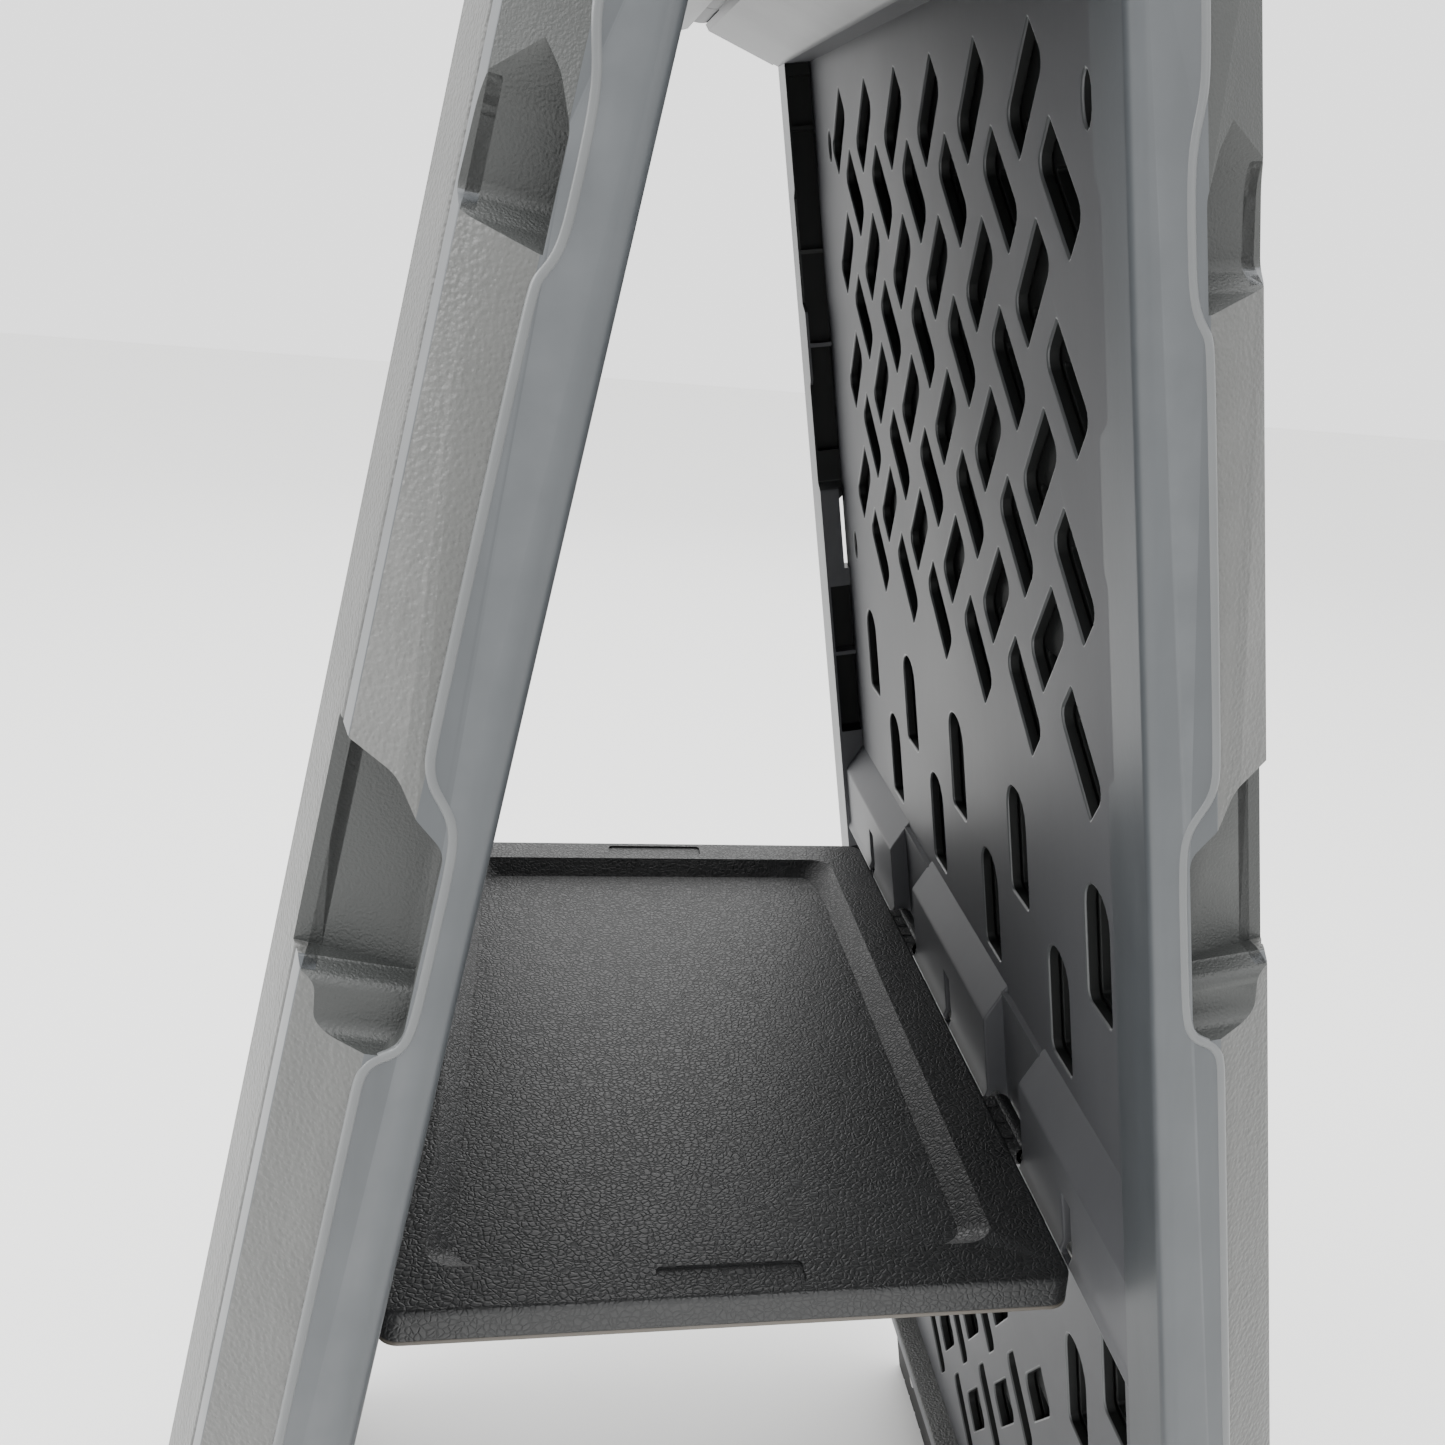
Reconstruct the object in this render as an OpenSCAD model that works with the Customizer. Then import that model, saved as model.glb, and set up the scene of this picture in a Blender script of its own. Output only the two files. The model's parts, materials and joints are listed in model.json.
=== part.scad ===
// Folding sawhorse: two identical moulded legs on a hinge rod, and a tray that folds down
// between them. X runs across the legs, Y along the beam, Z up from the floor.

/* [Overall] */
// Length of the beam and of both legs
leg_w = 480; // [420:5:600]
// Height of the working top
stand_h = 805; // [790:5:960]
// Height of the tray's top face
tray_z = 372; // [330:2:400]
// Lean of each leg from vertical, in degrees
half_angle = 9.7; // [9:0.1:10.5]
// Half of the clear gap between the legs at tray height
gap_half = 103.5; // [100:0.5:108]

/* [Legs] */
// Thickness of a leg
leg_t = 34; // [31:0.5:42]
// Width of the raised border beside the inner field
border_w = 26; // [23:0.5:32]
// Depth of the inner field below the border
field_d = 12; // [12:0.5:14.5]
// Height of the outer face's crown above the leg's edge
crown_h = 9; // [6:0.5:10]
// Width of the crown's slanting sides
crown_run = 30; // [24:1:36]
// How far the side face leans in beyond the parting line
side_draft = 10; // [6:0.5:11]
// Distance from the inner face to the parting line
parting_u = 20.5; // [18.5:0.5:23]
// Height of the arch between the two feet
arch_h = 52; // [44:1:62]
// Width of a foot along the beam
foot_w = 92; // [78:1:110]
// Depth of a foot's step at the inner face
foot_step = 12; // [10:0.5:14]
// Height of that step above the floor
step_h = 70; // [62:1:84]

/* [Lattice and slots] */
// Distance between pockets of one slant along the beam
lattice_y = 56; // [52:0.5:60]
// Distance between pockets of one slant up the leg
lattice_s = 52.7; // [50:0.1:56]
// Length of a lattice pocket
pocket_l = 35; // [30:0.5:36]
// Width of a lattice pocket
pocket_w = 15.6; // [13:0.1:16.5]
// Depth of the pockets and slots in the field
pocket_d = 12; // [10:0.5:12.5]
// Depth of the pockets in the outer face
back_pocket_d = 5; // [4:0.5:8]
// Width of an upright slot
slot_w = 21.5; // [18:0.5:24]
// Height of an upright slot
slot_h = 41; // [34:0.5:43]
// Distance between upright slots along the beam
slot_y = 81.5; // [74:0.5:84]

/* [Hand holds] */
// How deep a hand hold goes in from the leg's side
grip_d = 15.5; // [13:0.5:17]
// How much deeper the lower hand hold gets towards the outer face
grip_slant = 7; // [0:0.5:9]
// Inner edge of the lower hand hold, from the inner face
low_grip_u = 11.1; // [11.1:0.1:13]
// Inner edge of the upper hand hold, from the inner face
high_grip_u = 16.5; // [15:0.5:19]
// Start of the lower hand hold above the tray
low_grip_s = 133; // [125:1:140]
// Start of the upper hand hold above the tray
high_grip_s = 300; // [292:1:306]

/* [Top hinge] */
// Radius of the hinge rod
rod_r = 5; // [4:0.25:6]
// Radius of the hinge knuckles
knuckle_r = 12; // [11:0.5:13]
// Depth of the hinge's centre below the legs' top
hinge_drop = 26; // [22:0.5:30]
// Thickness of the rubber grip
grip_t = 3; // [2:0.5:4]
// Number of knuckles on both legs together, an even number
knuckle_n = 8; // [6:2:10]
// Thickness of the rod's end washers
washer_t = 1.5; // [1:0.1:2]
// Height of the rod's end caps
cap_t = 5; // [4:0.5:7]

/* [Tray] */
// Length of the tray along the beam
tray_l = 341; // [300:1:410]
// Thickness of the tray
tray_t = 10.5; // [9:0.5:12]
// Gap between the tray's long edges and the legs' inner planes
tray_gap = 1.3; // [1:0.1:2]
// Depth of the sunken centre
tray_sink = 6; // [5:0.5:7]
// Rim beside the hinge
rim_hinge = 19.3; // [16:0.1:23]
// Rim beside the catch
rim_catch = 11.5; // [11:0.5:15]
// Rim at both ends
rim_end = 19.5; // [16:0.5:23]
// Slope of the sunken centre's wall, in plan
sink_slope = 9; // [7:0.5:11]
// Radius of the tray's corners
tray_corner = 7; // [5:0.5:9]

/* [Tray hinge and catch] */
// Radius of the steel rods beside the tray
pin_r = 2; // [1.75:0.05:2.25]
// Distance of those rods from the inner face
pin_u = 5; // [4.8:0.1:5.2]
// Radius of the boss round a rod
boss_r = 4.2; // [4:0.1:4.4]
// Distance of the openings in the ledge from the middle
bay_y = 80.5; // [76:0.5:88]
// Length of an opening in the ledge
bay_l = 44; // [40:0.5:50]
// Depth of the channels below those openings, where the tray's lugs pass
channel_d = 6.5; // [6:0.1:7]
// Length of the tray's lugs
lug_l = 34; // [28:0.5:36]
// Height of the ledge's front edge above the tray
ledge_front = 27; // [24:0.5:32]
// Height of the ledge's back edge above the tray
ledge_back = 39; // [36:0.5:43]
// Distance of the ledge's front from the inner face
ledge_u = 2.1; // [1.8:0.1:2.6]

/* [Hidden] */
$fn = 48;
past = 1;                 // how far a cut runs past a face
run_fit = 0.05;           // radial clearance of a rod in its bore
part_gap = 0.6;           // clearance between faces that move past each other
lift_fit = 0.4;           // clearance of the catch rod in its cradle
foot_t = 5;               // rubber under the leg
boot_wall = 2;            // rubber beside the leg
boot_h = 44;              // height of the rubber foot
lift_half = 2.6;          // half width of a cradle's mouth
arm_half = 3.4;           // half thickness of a lug's arm
plate_t = 2.5;            // thickness of a cradle's plate
screw_r = 1.5;            // radius of the screws in the legs
screw_in = 12;            // how far those screws go into a leg

c = cos(half_angle);
s = sin(half_angle);
t = tan(half_angle);
half_w = leg_w / 2;
inner_w = half_w - border_w;
legs_top = stand_h - grip_t;
hinge_z = legs_top - hinge_drop;
rise = hinge_z - tray_z;
hinge_u = rise * s - gap_half * c;
hinge_s = rise * c + gap_half * s;
field_high = hinge_s - 32;
floor_s = -tray_z / c;
field_low = floor_s + step_h + 8;
tray_half = gap_half - tray_gap;
pin_z = tray_z - tray_t / 2;
pin_s = (-tray_t / 2 - pin_u * s) / c;
pin_x = gap_half + pin_u * c - pin_s * s;
bay_back = pin_u + boss_r + 0.5;
seg_l = leg_w / knuckle_n;
washer_y = half_w + part_gap;
arch_half = half_w - foot_w;
cradle_tilt = atan(rise / (5.13 * 2 * pin_x));

// distance from the middle to a plane u from the inner face, at height z
function plane_x(u, z) = gap_half + u / c - (z - tray_z) * t;

// the leaning frame of a leg: X out through the leg, Y along the beam, Z up the leg
module on_leg() {
    translate([gap_half, 0, tray_z])
        rotate([0, -half_angle, 0])
            children();
}

// both ends of a leg
module both_ends() {
    children();
    mirror([0, 1, 0])
        children();
}

// a block given by its limits
module block(x, y, z) {
    translate([x[0], y[0], z[0]])
        cube([x[1] - x[0], y[1] - y[0], z[1] - z[0]]);
}

// an outline in X and Z, run along Y from one place to another
module along_y(from, to) {
    translate([0, to, 0])
        rotate([90, 0, 0])
            linear_extrude(height = to - from)
                children();
}

// an outline in Y and Z, run along X from one place to another
module along_x(from, to) {
    translate([from, 0, 0])
        rotate([90, 0, 90])
            linear_extrude(height = to - from)
                children();
}

// a rod along Y
module rod_y(r, from, to) {
    translate([0, to, 0])
        rotate([90, 0, 0])
            cylinder(r = r, h = to - from);
}

// ---- legs ----

// side view of a leg with its head, standing on its feet
module leg_outline() {
    polygon([
        [part_gap, legs_top],
        [plane_x(leg_t, legs_top), legs_top],
        [plane_x(leg_t, foot_t), foot_t],
        [plane_x(0, foot_t), foot_t],
        [plane_x(0, hinge_z - 30), hinge_z - 30],
        [plane_x(hinge_u + part_gap, hinge_z - 14), hinge_z - 14],
        [plane_x(hinge_u + part_gap, hinge_z), hinge_z],
    ]);
}

// what the slanting outer half of a side face leaves out
module side_cut() {
    translate([0, 0, floor_s - 20])
        linear_extrude(height = hinge_s - floor_s + 80)
            polygon([
                [parting_u, half_w],
                [leg_t + past, half_w - side_draft * (leg_t + past - parting_u) / (leg_t - parting_u)],
                [leg_t + past, half_w + past],
                [parting_u, half_w + past],
            ]);
}

// lower hand hold, in one side of the leg
module low_grip() {
    in = low_grip_u;
    out = leg_t + crown_h + past;
    top = low_grip_s + 33;
    back = half_w - grip_d;
    intersection() {
        along_y(back - grip_slant, half_w + past)
            polygon([[in, low_grip_s], [in, top], [in + 3, top + 4.5], [in + 9, top + 9],
                     [in + 15, top + 13], [leg_t, top + 16], [out, top + 19], [out, low_grip_s]]);
        translate([0, 0, low_grip_s - past])
            linear_extrude(height = 70)
                polygon([[in - past, back], [in, back], [out, back - grip_slant],
                         [out + past, half_w + 2], [in - past, half_w + 2]]);
    }
    along_x(in, out)
        polygon([[half_w - grip_d, low_grip_s + 1], [half_w - 6, low_grip_s - 8],
                 [half_w + past, low_grip_s - 14], [half_w + past, low_grip_s + 1]]);
    // slit through to the field, behind the finger bar
    block([low_grip_u, field_d + 2], [inner_w - past, half_w - grip_d + past],
          [low_grip_s + 2, low_grip_s + 46]);
}

// upper hand hold, shallower towards its top
module high_grip() {
    in = high_grip_u;
    out = leg_t + 3;
    intersection() {
        along_y(half_w - grip_d, half_w + past)
            polygon([[in, high_grip_s - 9], [in, high_grip_s + 18], [in + 1.5, high_grip_s + 22],
                     [in + 7, high_grip_s + 30], [out, high_grip_s + 40], [out, high_grip_s - 9]]);
        along_x(0, out + past)
            polygon([[half_w - grip_d, high_grip_s], [half_w - 6, high_grip_s - 5],
                     [half_w + past, high_grip_s - 9], [half_w + past, high_grip_s + 40],
                     [half_w - grip_d + 3, high_grip_s + 18]]);
    }
}

// pockets between the ribs in the border's inner wall: start, end, depth
rib_pockets = [[47, 89, 10], [91, 126, 6], [196, 248, 10], [250, 293, 6], [295, 351, 10],
               [353, 380, 6], [-64, -18, 10], [-118, -66, 6], [-172, -120, 10], [-226, -174, 6],
               [-290, -228, 10]];

module rib_pocket_row() {
    for (p = rib_pockets)
        block([1.2, field_d + past], [inner_w - past, inner_w + p[2]], [p[0], p[1]]);
}

// one slanted pocket of the lattice, drawn in Y and Z
module slant(y, z, way) {
    translate([y, z])
        rotate(way * 45)
            square([pocket_l, pocket_w], center = true);
}

// rows of pockets that slant to both sides in turn
module lattice(from, rows) {
    for (row = [0 : rows - 1], col = [0 : 5]) {
        z = from + row * lattice_s;
        slant((col - 2.75) * lattice_y, z, 1);
        slant((col - 2.25) * lattice_y, z + lattice_s / 2, -1);
    }
}

// an upright slot with a round top
module upright(y, z) {
    translate([y - slot_w / 2, z - slot_h / 2])
        square([slot_w, slot_h - slot_w / 2]);
    translate([y, z + slot_h / 2 - slot_w / 2])
        circle(d = slot_w);
}

// two rows of slots, set off by half a space
module slot_rows(z) {
    for (i = [-2 : 2])
        upright(i * slot_y, z);
    for (i = [-1.5 : 1.5])
        upright(i * slot_y, z - 40);
}

module field_pockets() {
    along_x(field_d - past, field_d + pocket_d) {
        lattice(163, 4);
        slot_rows(104);
        slot_rows(-46);
        lattice(-264, 3);
    }
}

// channels below the ledge, where the tray's lugs pass as the stand folds
module lug_channels() {
    for (side = [-1, 1])
        block([field_d - past, field_d + channel_d],
              [side * bay_y - lug_l / 2 - 3, side * bay_y + lug_l / 2 + 3],
              [-140, pin_s - boss_r]);
}

// crowned panel of the outer face
module crown() {
    edge = half_w - side_draft;
    flat = edge - crown_run;
    translate([0, 0, floor_s + step_h])
        linear_extrude(height = hinge_s - 46 - floor_s - step_h)
            polygon([[leg_t - 4, -edge], [leg_t, -edge], [leg_t + crown_h, -flat],
                     [leg_t + crown_h, flat], [leg_t, edge], [leg_t - 4, edge]]);
}

// rows of pockets in the outer face
module back_pockets() {
    along_x(leg_t + crown_h - back_pocket_d, leg_t + crown_h + past) {
        for (row = [0 : 5], col = [-2 : 2])
            upright(col * 78 + (row % 2) * 26 - 13, 20 + row * 58);
        for (row = [0 : 4], col = [-2 : 2])
            upright(col * 78 + (row % 2) * 26 - 13, -288 + row * 58);
    }
}

// ledge above the tray's edge, with bays for the lugs and windows over the rod
module ledge() {
    difference() {
        union() {
            along_y(-inner_w - past, inner_w + past)
                polygon([[ledge_u, pin_s], [ledge_u, ledge_front], [field_d + past, ledge_back + past],
                         [field_d + past, pin_s - boss_r], [pin_u, pin_s - boss_r]]);
            translate([pin_u, 0, pin_s])
                rod_y(boss_r, -inner_w - past, inner_w + past);
        }
        for (side = [-1, 1])
            block([-past, bay_back], [side * bay_y - bay_l / 2, side * bay_y + bay_l / 2],
                  [pin_s - boss_r - past, ledge_back + past]);
        for (i = [-1 : 1])
            block([-past, pin_u + pin_r + 1], [i * 152 - 4, i * 152 + 4], [-8, 14]);
        translate([pin_u, 0, pin_s])
            rod_y(pin_r + run_fit, -inner_w + 8, inner_w - 8);
    }
}

// one leg, standing on the +X side: its knuckles are the even ones
module leg() {
    difference() {
        union() {
            difference() {
                union() {
                    along_y(-half_w, half_w)
                        leg_outline();
                    on_leg()
                        crown();
                }
                on_leg() {
                    block([-past, field_d], [-inner_w, inner_w], [field_low, field_high]);
                    block([-20, foot_step], [-half_w - past, half_w + past],
                          [floor_s - 40, floor_s + step_h]);
                    field_pockets();
                    back_pockets();
                    lug_channels();
                    both_ends() {
                        side_cut();
                        low_grip();
                        high_grip();
                        rib_pocket_row();
                    }
                }
                block([0, 400], [-arch_half, arch_half], [-past, arch_h]);
            }
            on_leg()
                ledge();
            for (i = [0 : 2 : knuckle_n - 2])
                translate([0, 0, hinge_z])
                    rod_y(knuckle_r, -half_w + i * seg_l + part_gap / 2,
                          -half_w + (i + 1) * seg_l - part_gap / 2);
        }
        for (i = [1 : 2 : knuckle_n - 1])
            translate([0, 0, hinge_z])
                rod_y(knuckle_r + part_gap, -half_w + i * seg_l - part_gap / 2,
                      -half_w + (i + 1) * seg_l + (i == knuckle_n - 1 ? past : part_gap / 2));
        translate([0, 0, hinge_z])
            rod_y(rod_r + run_fit, -half_w - past, half_w + past);
        grip_screw_places()
            translate([0, 0, -screw_in])
                cylinder(r = screw_r, h = screw_in + past);
        both_ends()
            foot_screw();
    }
}

module leg_right() {
    color("slategray")
        leg();
}

module leg_left() {
    color("slategray")
        rotate([0, 0, 180])
            leg();
}

// ---- feet ----

// plan of a foot across the leg, grown by a wall
module foot_plan(wall) {
    polygon([[foot_step - wall, arch_half - wall], [leg_t + wall, arch_half - wall],
             [leg_t + wall, half_w - side_draft + wall], [parting_u, half_w + wall],
             [foot_step - wall, half_w + wall]]);
}

// rubber foot at the +Y end of the right leg
module rubber_foot() {
    difference() {
        on_leg()
            translate([0, 0, floor_s - 20])
                linear_extrude(height = 20 + boot_h)
                    foot_plan(boot_wall);
        block([0, 400], [0, half_w + 20], [-60, 0]);
        difference() {
            on_leg()
                translate([0, 0, floor_s - 30])
                    linear_extrude(height = 40 + boot_h)
                        foot_plan(0);
            block([0, 400], [0, half_w + 20], [-60, foot_t]);
        }
        foot_screw();
    }
}

// pan-headed screw that holds a foot, in its inner face
module foot_screw() {
    on_leg()
        translate([foot_step, half_w - foot_w / 2, floor_s + 28])
            rotate([0, 90, 0]) {
                translate([0, 0, -boot_wall - 1.6])
                    cylinder(r = 4, h = 1.6);
                translate([0, 0, -boot_wall])
                    cylinder(r = screw_r, h = boot_wall + screw_in);
            }
}

module foot_right_back() {
    color("black")
        rubber_foot();
}

module foot_right_front() {
    color("black")
        mirror([0, 1, 0])
            rubber_foot();
}

module foot_left_back() {
    color("black")
        mirror([1, 0, 0])
            rubber_foot();
}

module foot_left_front() {
    color("black")
        rotate([0, 0, 180])
            rubber_foot();
}

module foot_screws_right() {
    color("silver")
        both_ends()
            foot_screw();
}

module foot_screws_left() {
    color("silver")
        mirror([1, 0, 0])
            both_ends()
                foot_screw();
}

// ---- top ----

module grip_pad() {
    difference() {
        block([8, plane_x(leg_t, legs_top) - 6], [-half_w + 14, half_w - 14], [legs_top, stand_h]);
        grip_screw_places()
            cylinder(r = 4, h = 10);
    }
}

// places of the grip's screws
module grip_screw_places() {
    for (y = [-half_w + 50, 0, half_w - 50])
        translate([(8 + plane_x(leg_t, legs_top) - 6) / 2, y, legs_top])
            children();
}

module grip_right() {
    color("dimgray")
        grip_pad();
}

module grip_left() {
    color("dimgray")
        mirror([1, 0, 0])
            grip_pad();
}

// pan-headed screws that hold a grip
module grip_screw_set() {
    grip_screw_places() {
        cylinder(r = 3.6, h = 1.8);
        translate([0, 0, -screw_in])
            cylinder(r = screw_r, h = screw_in);
    }
}

module grip_screws_right() {
    color("silver")
        grip_screw_set();
}

module grip_screws_left() {
    color("silver")
        mirror([1, 0, 0])
            grip_screw_set();
}

module hinge_rod() {
    color("silver")
        translate([0, 0, hinge_z])
            rod_y(rod_r, -washer_y - washer_t - 3, washer_y + washer_t + 3);
}

module hinge_washers() {
    color("silver")
        translate([0, 0, hinge_z])
            difference() {
                union() {
                    rod_y(knuckle_r - 2, -washer_y - washer_t, -washer_y);
                    rod_y(knuckle_r - 2, washer_y, washer_y + washer_t);
                }
                rod_y(rod_r, -half_w - 20, half_w + 20);
            }
}

// domed push-on cap, turned about the rod
module rod_cap() {
    difference() {
        rotate_extrude()
            polygon([[0, 0], [knuckle_r - 3, 0], [knuckle_r - 3, cap_t / 2], [knuckle_r - 4, cap_t - 1],
                     [knuckle_r - 6.5, cap_t], [0, cap_t]]);
        translate([0, 0, -past])
            cylinder(r = rod_r, h = past + 3);
    }
}

module rod_cap_front() {
    color("dimgray")
        translate([0, -washer_y - washer_t, hinge_z])
            rotate([90, 0, 0])
                rod_cap();
}

module rod_cap_back() {
    color("dimgray")
        translate([0, washer_y + washer_t, hinge_z])
            rotate([-90, 0, 0])
                rod_cap();
}

// ---- tray ----

// rounded rectangle given by its limits
module round_plate(x, y, r) {
    for (px = [x[0] + r, x[1] - r], py = [y[0] + r, y[1] - r])
        translate([px, py])
            circle(r = r);
    translate([x[0] + r, y[0]])
        square([x[1] - x[0] - 2 * r, y[1] - y[0]]);
    translate([x[0], y[0] + r])
        square([x[1] - x[0], y[1] - y[0] - 2 * r]);
}

sink_x = [-tray_half + rim_catch, tray_half - rim_hinge];
sink_y = [-tray_l / 2 + rim_end, tray_l / 2 - rim_end];

// the sunken centre: a floor and a sloping wall
module sunken_centre() {
    low = tray_z - tray_sink;
    floor_x = [sink_x[0] + sink_slope, sink_x[1] - sink_slope];
    floor_y = [sink_y[0] + sink_slope, sink_y[1] - sink_slope];
    hull() {
        translate([0, 0, low])
            linear_extrude(height = 0.01)
                round_plate(floor_x, floor_y, 6);
        translate([0, 0, tray_z + 0.3])
            linear_extrude(height = 0.01)
                round_plate(sink_x, sink_y, 10);
    }
}

// hinge lug on the tray's right edge
module lug() {
    translate([pin_x, 0, pin_z])
        rod_y(boss_r - 0.1, -lug_l / 2, lug_l / 2);
    block([tray_half - past, pin_x], [-lug_l / 2, lug_l / 2], [pin_z - arm_half, pin_z + arm_half]);
}

module tray() {
    color("darkslategray")
        difference() {
            union() {
                translate([0, 0, tray_z - tray_t])
                    linear_extrude(height = tray_t)
                        round_plate([-tray_half, tray_half], [-tray_l / 2, tray_l / 2], tray_corner);
                for (side = [-1, 1])
                    translate([0, side * bay_y, 0])
                        lug();
            }
            sunken_centre();
            translate([pin_x, 0, pin_z])
                rod_y(pin_r + run_fit, -tray_l / 2, tray_l / 2);
            for (side = [-1, 1]) {
                translate([0, side * bay_y, 0])
                    cradle_seat();
                    block([-24, 20], [side * (tray_l / 2 - rim_end / 2) - 5.5,
                      side * (tray_l / 2 - rim_end / 2) + 5.5], [tray_z - 0.6, tray_z + past]);
            }
        }
}

module tray_hinge_rod() {
    color("silver")
        translate([pin_x, 0, pin_z])
            rod_y(pin_r, -inner_w + 8.5, inner_w - 8.5);
}

module catch_rod() {
    color("silver")
        translate([-pin_x, 0, pin_z])
            rod_y(pin_r, -inner_w + 8.5, inner_w - 8.5);
}

// recess for a cradle's plate under the tray's left edge
module cradle_seat() {
    block([-tray_half - past, -tray_half + 11], [-lug_l / 2 - 2, lug_l / 2 + 2],
          [tray_z - tray_t - past, tray_z - tray_t + plate_t]);
    cradle_screw_places()
        cylinder(r = 1.2, h = plate_t + 3);
}

module cradle_screw_places() {
    for (y = [-11, 11])
        translate([-tray_half + 6, y, tray_z - tray_t])
            children();
}

// open cradle that lifts onto the catch rod, on a plate under the tray
module cradle() {
    low = tray_z - tray_t;
    difference() {
        union() {
            block([-tray_half - 2, -tray_half + 10.8], [-lug_l / 2 - 1.8, lug_l / 2 + 1.8],
                  [low, low + plate_t]);
            block([-pin_x, -tray_half], [-lug_l / 2, lug_l / 2], [low, pin_z + 2]);
            translate([-pin_x, 0, pin_z])
                rod_y(boss_r + 0.2, -lug_l / 2, lug_l / 2);
        }
        translate([-pin_x, 0, pin_z]) {
            rod_y(pin_r + lift_fit, -lug_l, lug_l);
            rotate([0, cradle_tilt, 0])
                block([-lift_half, lift_half], [-lug_l, lug_l], [0, 12]);
            block([-12, 12], [-lug_l, lug_l], [0.8, 12]);
        }
        cradle_screw_places()
            cylinder(r = 1.5, h = 10);
        cradle_screw_places()
            translate([0, 0, -past])
                cylinder(r = 3.1, h = past + 1);
    }
}

module cradle_front() {
    color("black")
        translate([0, -bay_y, 0])
            cradle();
}

module cradle_back() {
    color("black")
        translate([0, bay_y, 0])
            cradle();
}

module cradle_screws() {
    color("silver")
        for (side = [-1, 1])
            translate([0, side * bay_y, 0])
                cradle_screw_places() {
                    cylinder(r = 3, h = 1);
                    cylinder(r = 1.2, h = plate_t + 3);
                }
}

leg_right();
leg_left();
foot_right_front();
foot_right_back();
foot_left_front();
foot_left_back();
foot_screws_right();
foot_screws_left();
grip_right();
grip_left();
grip_screws_right();
grip_screws_left();
hinge_rod();
hinge_washers();
rod_cap_front();
rod_cap_back();
tray();
tray_hinge_rod();
catch_rod();
cradle_front();
cradle_back();
cradle_screws();
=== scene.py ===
import bpy, bmesh, json, math, random
from mathutils import Matrix, Vector


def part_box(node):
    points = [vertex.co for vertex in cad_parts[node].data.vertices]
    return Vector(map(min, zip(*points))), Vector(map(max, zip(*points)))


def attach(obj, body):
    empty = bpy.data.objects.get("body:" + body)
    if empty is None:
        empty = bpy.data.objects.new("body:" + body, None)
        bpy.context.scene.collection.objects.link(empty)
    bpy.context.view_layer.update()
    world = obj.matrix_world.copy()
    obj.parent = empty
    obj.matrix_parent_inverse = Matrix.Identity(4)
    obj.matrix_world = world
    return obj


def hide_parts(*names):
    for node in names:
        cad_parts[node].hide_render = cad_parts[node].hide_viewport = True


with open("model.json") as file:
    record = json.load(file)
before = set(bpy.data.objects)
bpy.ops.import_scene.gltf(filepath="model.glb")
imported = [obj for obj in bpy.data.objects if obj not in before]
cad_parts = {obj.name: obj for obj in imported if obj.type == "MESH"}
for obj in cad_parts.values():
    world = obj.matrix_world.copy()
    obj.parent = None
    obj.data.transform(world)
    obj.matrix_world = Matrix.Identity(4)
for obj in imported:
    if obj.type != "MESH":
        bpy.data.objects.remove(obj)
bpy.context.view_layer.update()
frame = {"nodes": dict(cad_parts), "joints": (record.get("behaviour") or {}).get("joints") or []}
random.seed(7)

# ---- where things are: the leg's own frame is u out through the leg, y along it, s up it ----

trayLow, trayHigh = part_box("tray")
legLow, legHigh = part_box("leg_right")
plateLow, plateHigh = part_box("cradle_front")
stand = dict(lean=9.7, legThick=0.034, trayGap=0.0013, trayThick=0.0105)

mm = 0.001
lean = math.radians(stand["lean"])
halfW = legHigh.y
trayTop = trayHigh.z
gripLow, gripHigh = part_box("grip_right")
topZ = gripLow.z
joints = {j["name"]: j for j in frame["joints"]}
hinge = Vector(joints["leg_fold"]["pos_m"])
trayPin = Vector(joints["tray_fold"]["pos_m"])
trayHalf = -trayLow.x
gap = trayHalf + stand["trayGap"]
onRight = Matrix.Translation((gap, 0, trayTop)) @ Matrix.Rotation(-lean, 4, "Y")
onLeft = Matrix.Rotation(math.pi, 4, "Z") @ onRight
floorS = -trayTop / math.cos(lean)
hingeLocal = onRight.inverted() @ hinge
hingeS = hingeLocal.z
lieFlat = Matrix(((0, 0, 1, 0), (1, 0, 0, 0), (0, 1, 0, 0), (0, 0, 0, 1)))      # drawn (y, s), thick along u
alongLeg = Matrix(((1, 0, 0, 0), (0, 0, -1, 0), (0, 1, 0, 0), (0, 0, 0, 1)))    # drawn (u, s), long along y
upLeg = Matrix.Identity(4)                                                      # drawn (u, y), long along s


# ---- making meshes ----

def addPiece(name, mesh, body, material, stands=()):
    piece = bpy.data.objects.new(name, mesh)
    bpy.context.scene.collection.objects.link(piece)
    for m in (material if isinstance(material, (list, tuple)) else [material]):
        mesh.materials.append(m)
    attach(piece, body)
    if stands:
        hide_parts(*stands)
    return piece


def rounded(points, radii, steps=4):
    # a polygon with arcs at its corners
    out = []
    n = len(points)
    for i, p in enumerate(points):
        p = Vector(p)
        r = radii[i] if isinstance(radii, (list, tuple)) else radii
        a = (Vector(points[i - 1]) - p)
        b = (Vector(points[(i + 1) % n]) - p)
        turn = a.angle(b)
        if r <= 0 or turn > 3.1:
            out.append(p)
            continue
        reach = min(r / math.tan(turn / 2), a.length * 0.48, b.length * 0.48)
        r = reach * math.tan(turn / 2)
        a.normalize()
        b.normalize()
        centre = p + (a + b).normalized() * (r / math.sin(turn / 2))
        start = p + a * reach - centre
        end = p + b * reach - centre
        sweep = start.angle_signed(end) if start.length > 0 else 0
        for k in range(steps + 1):
            t = -sweep * k / steps
            c, s = math.cos(t), math.sin(t)
            out.append(centre + Vector((start.x * c - start.y * s, start.x * s + start.y * c)))
    return out


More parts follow.
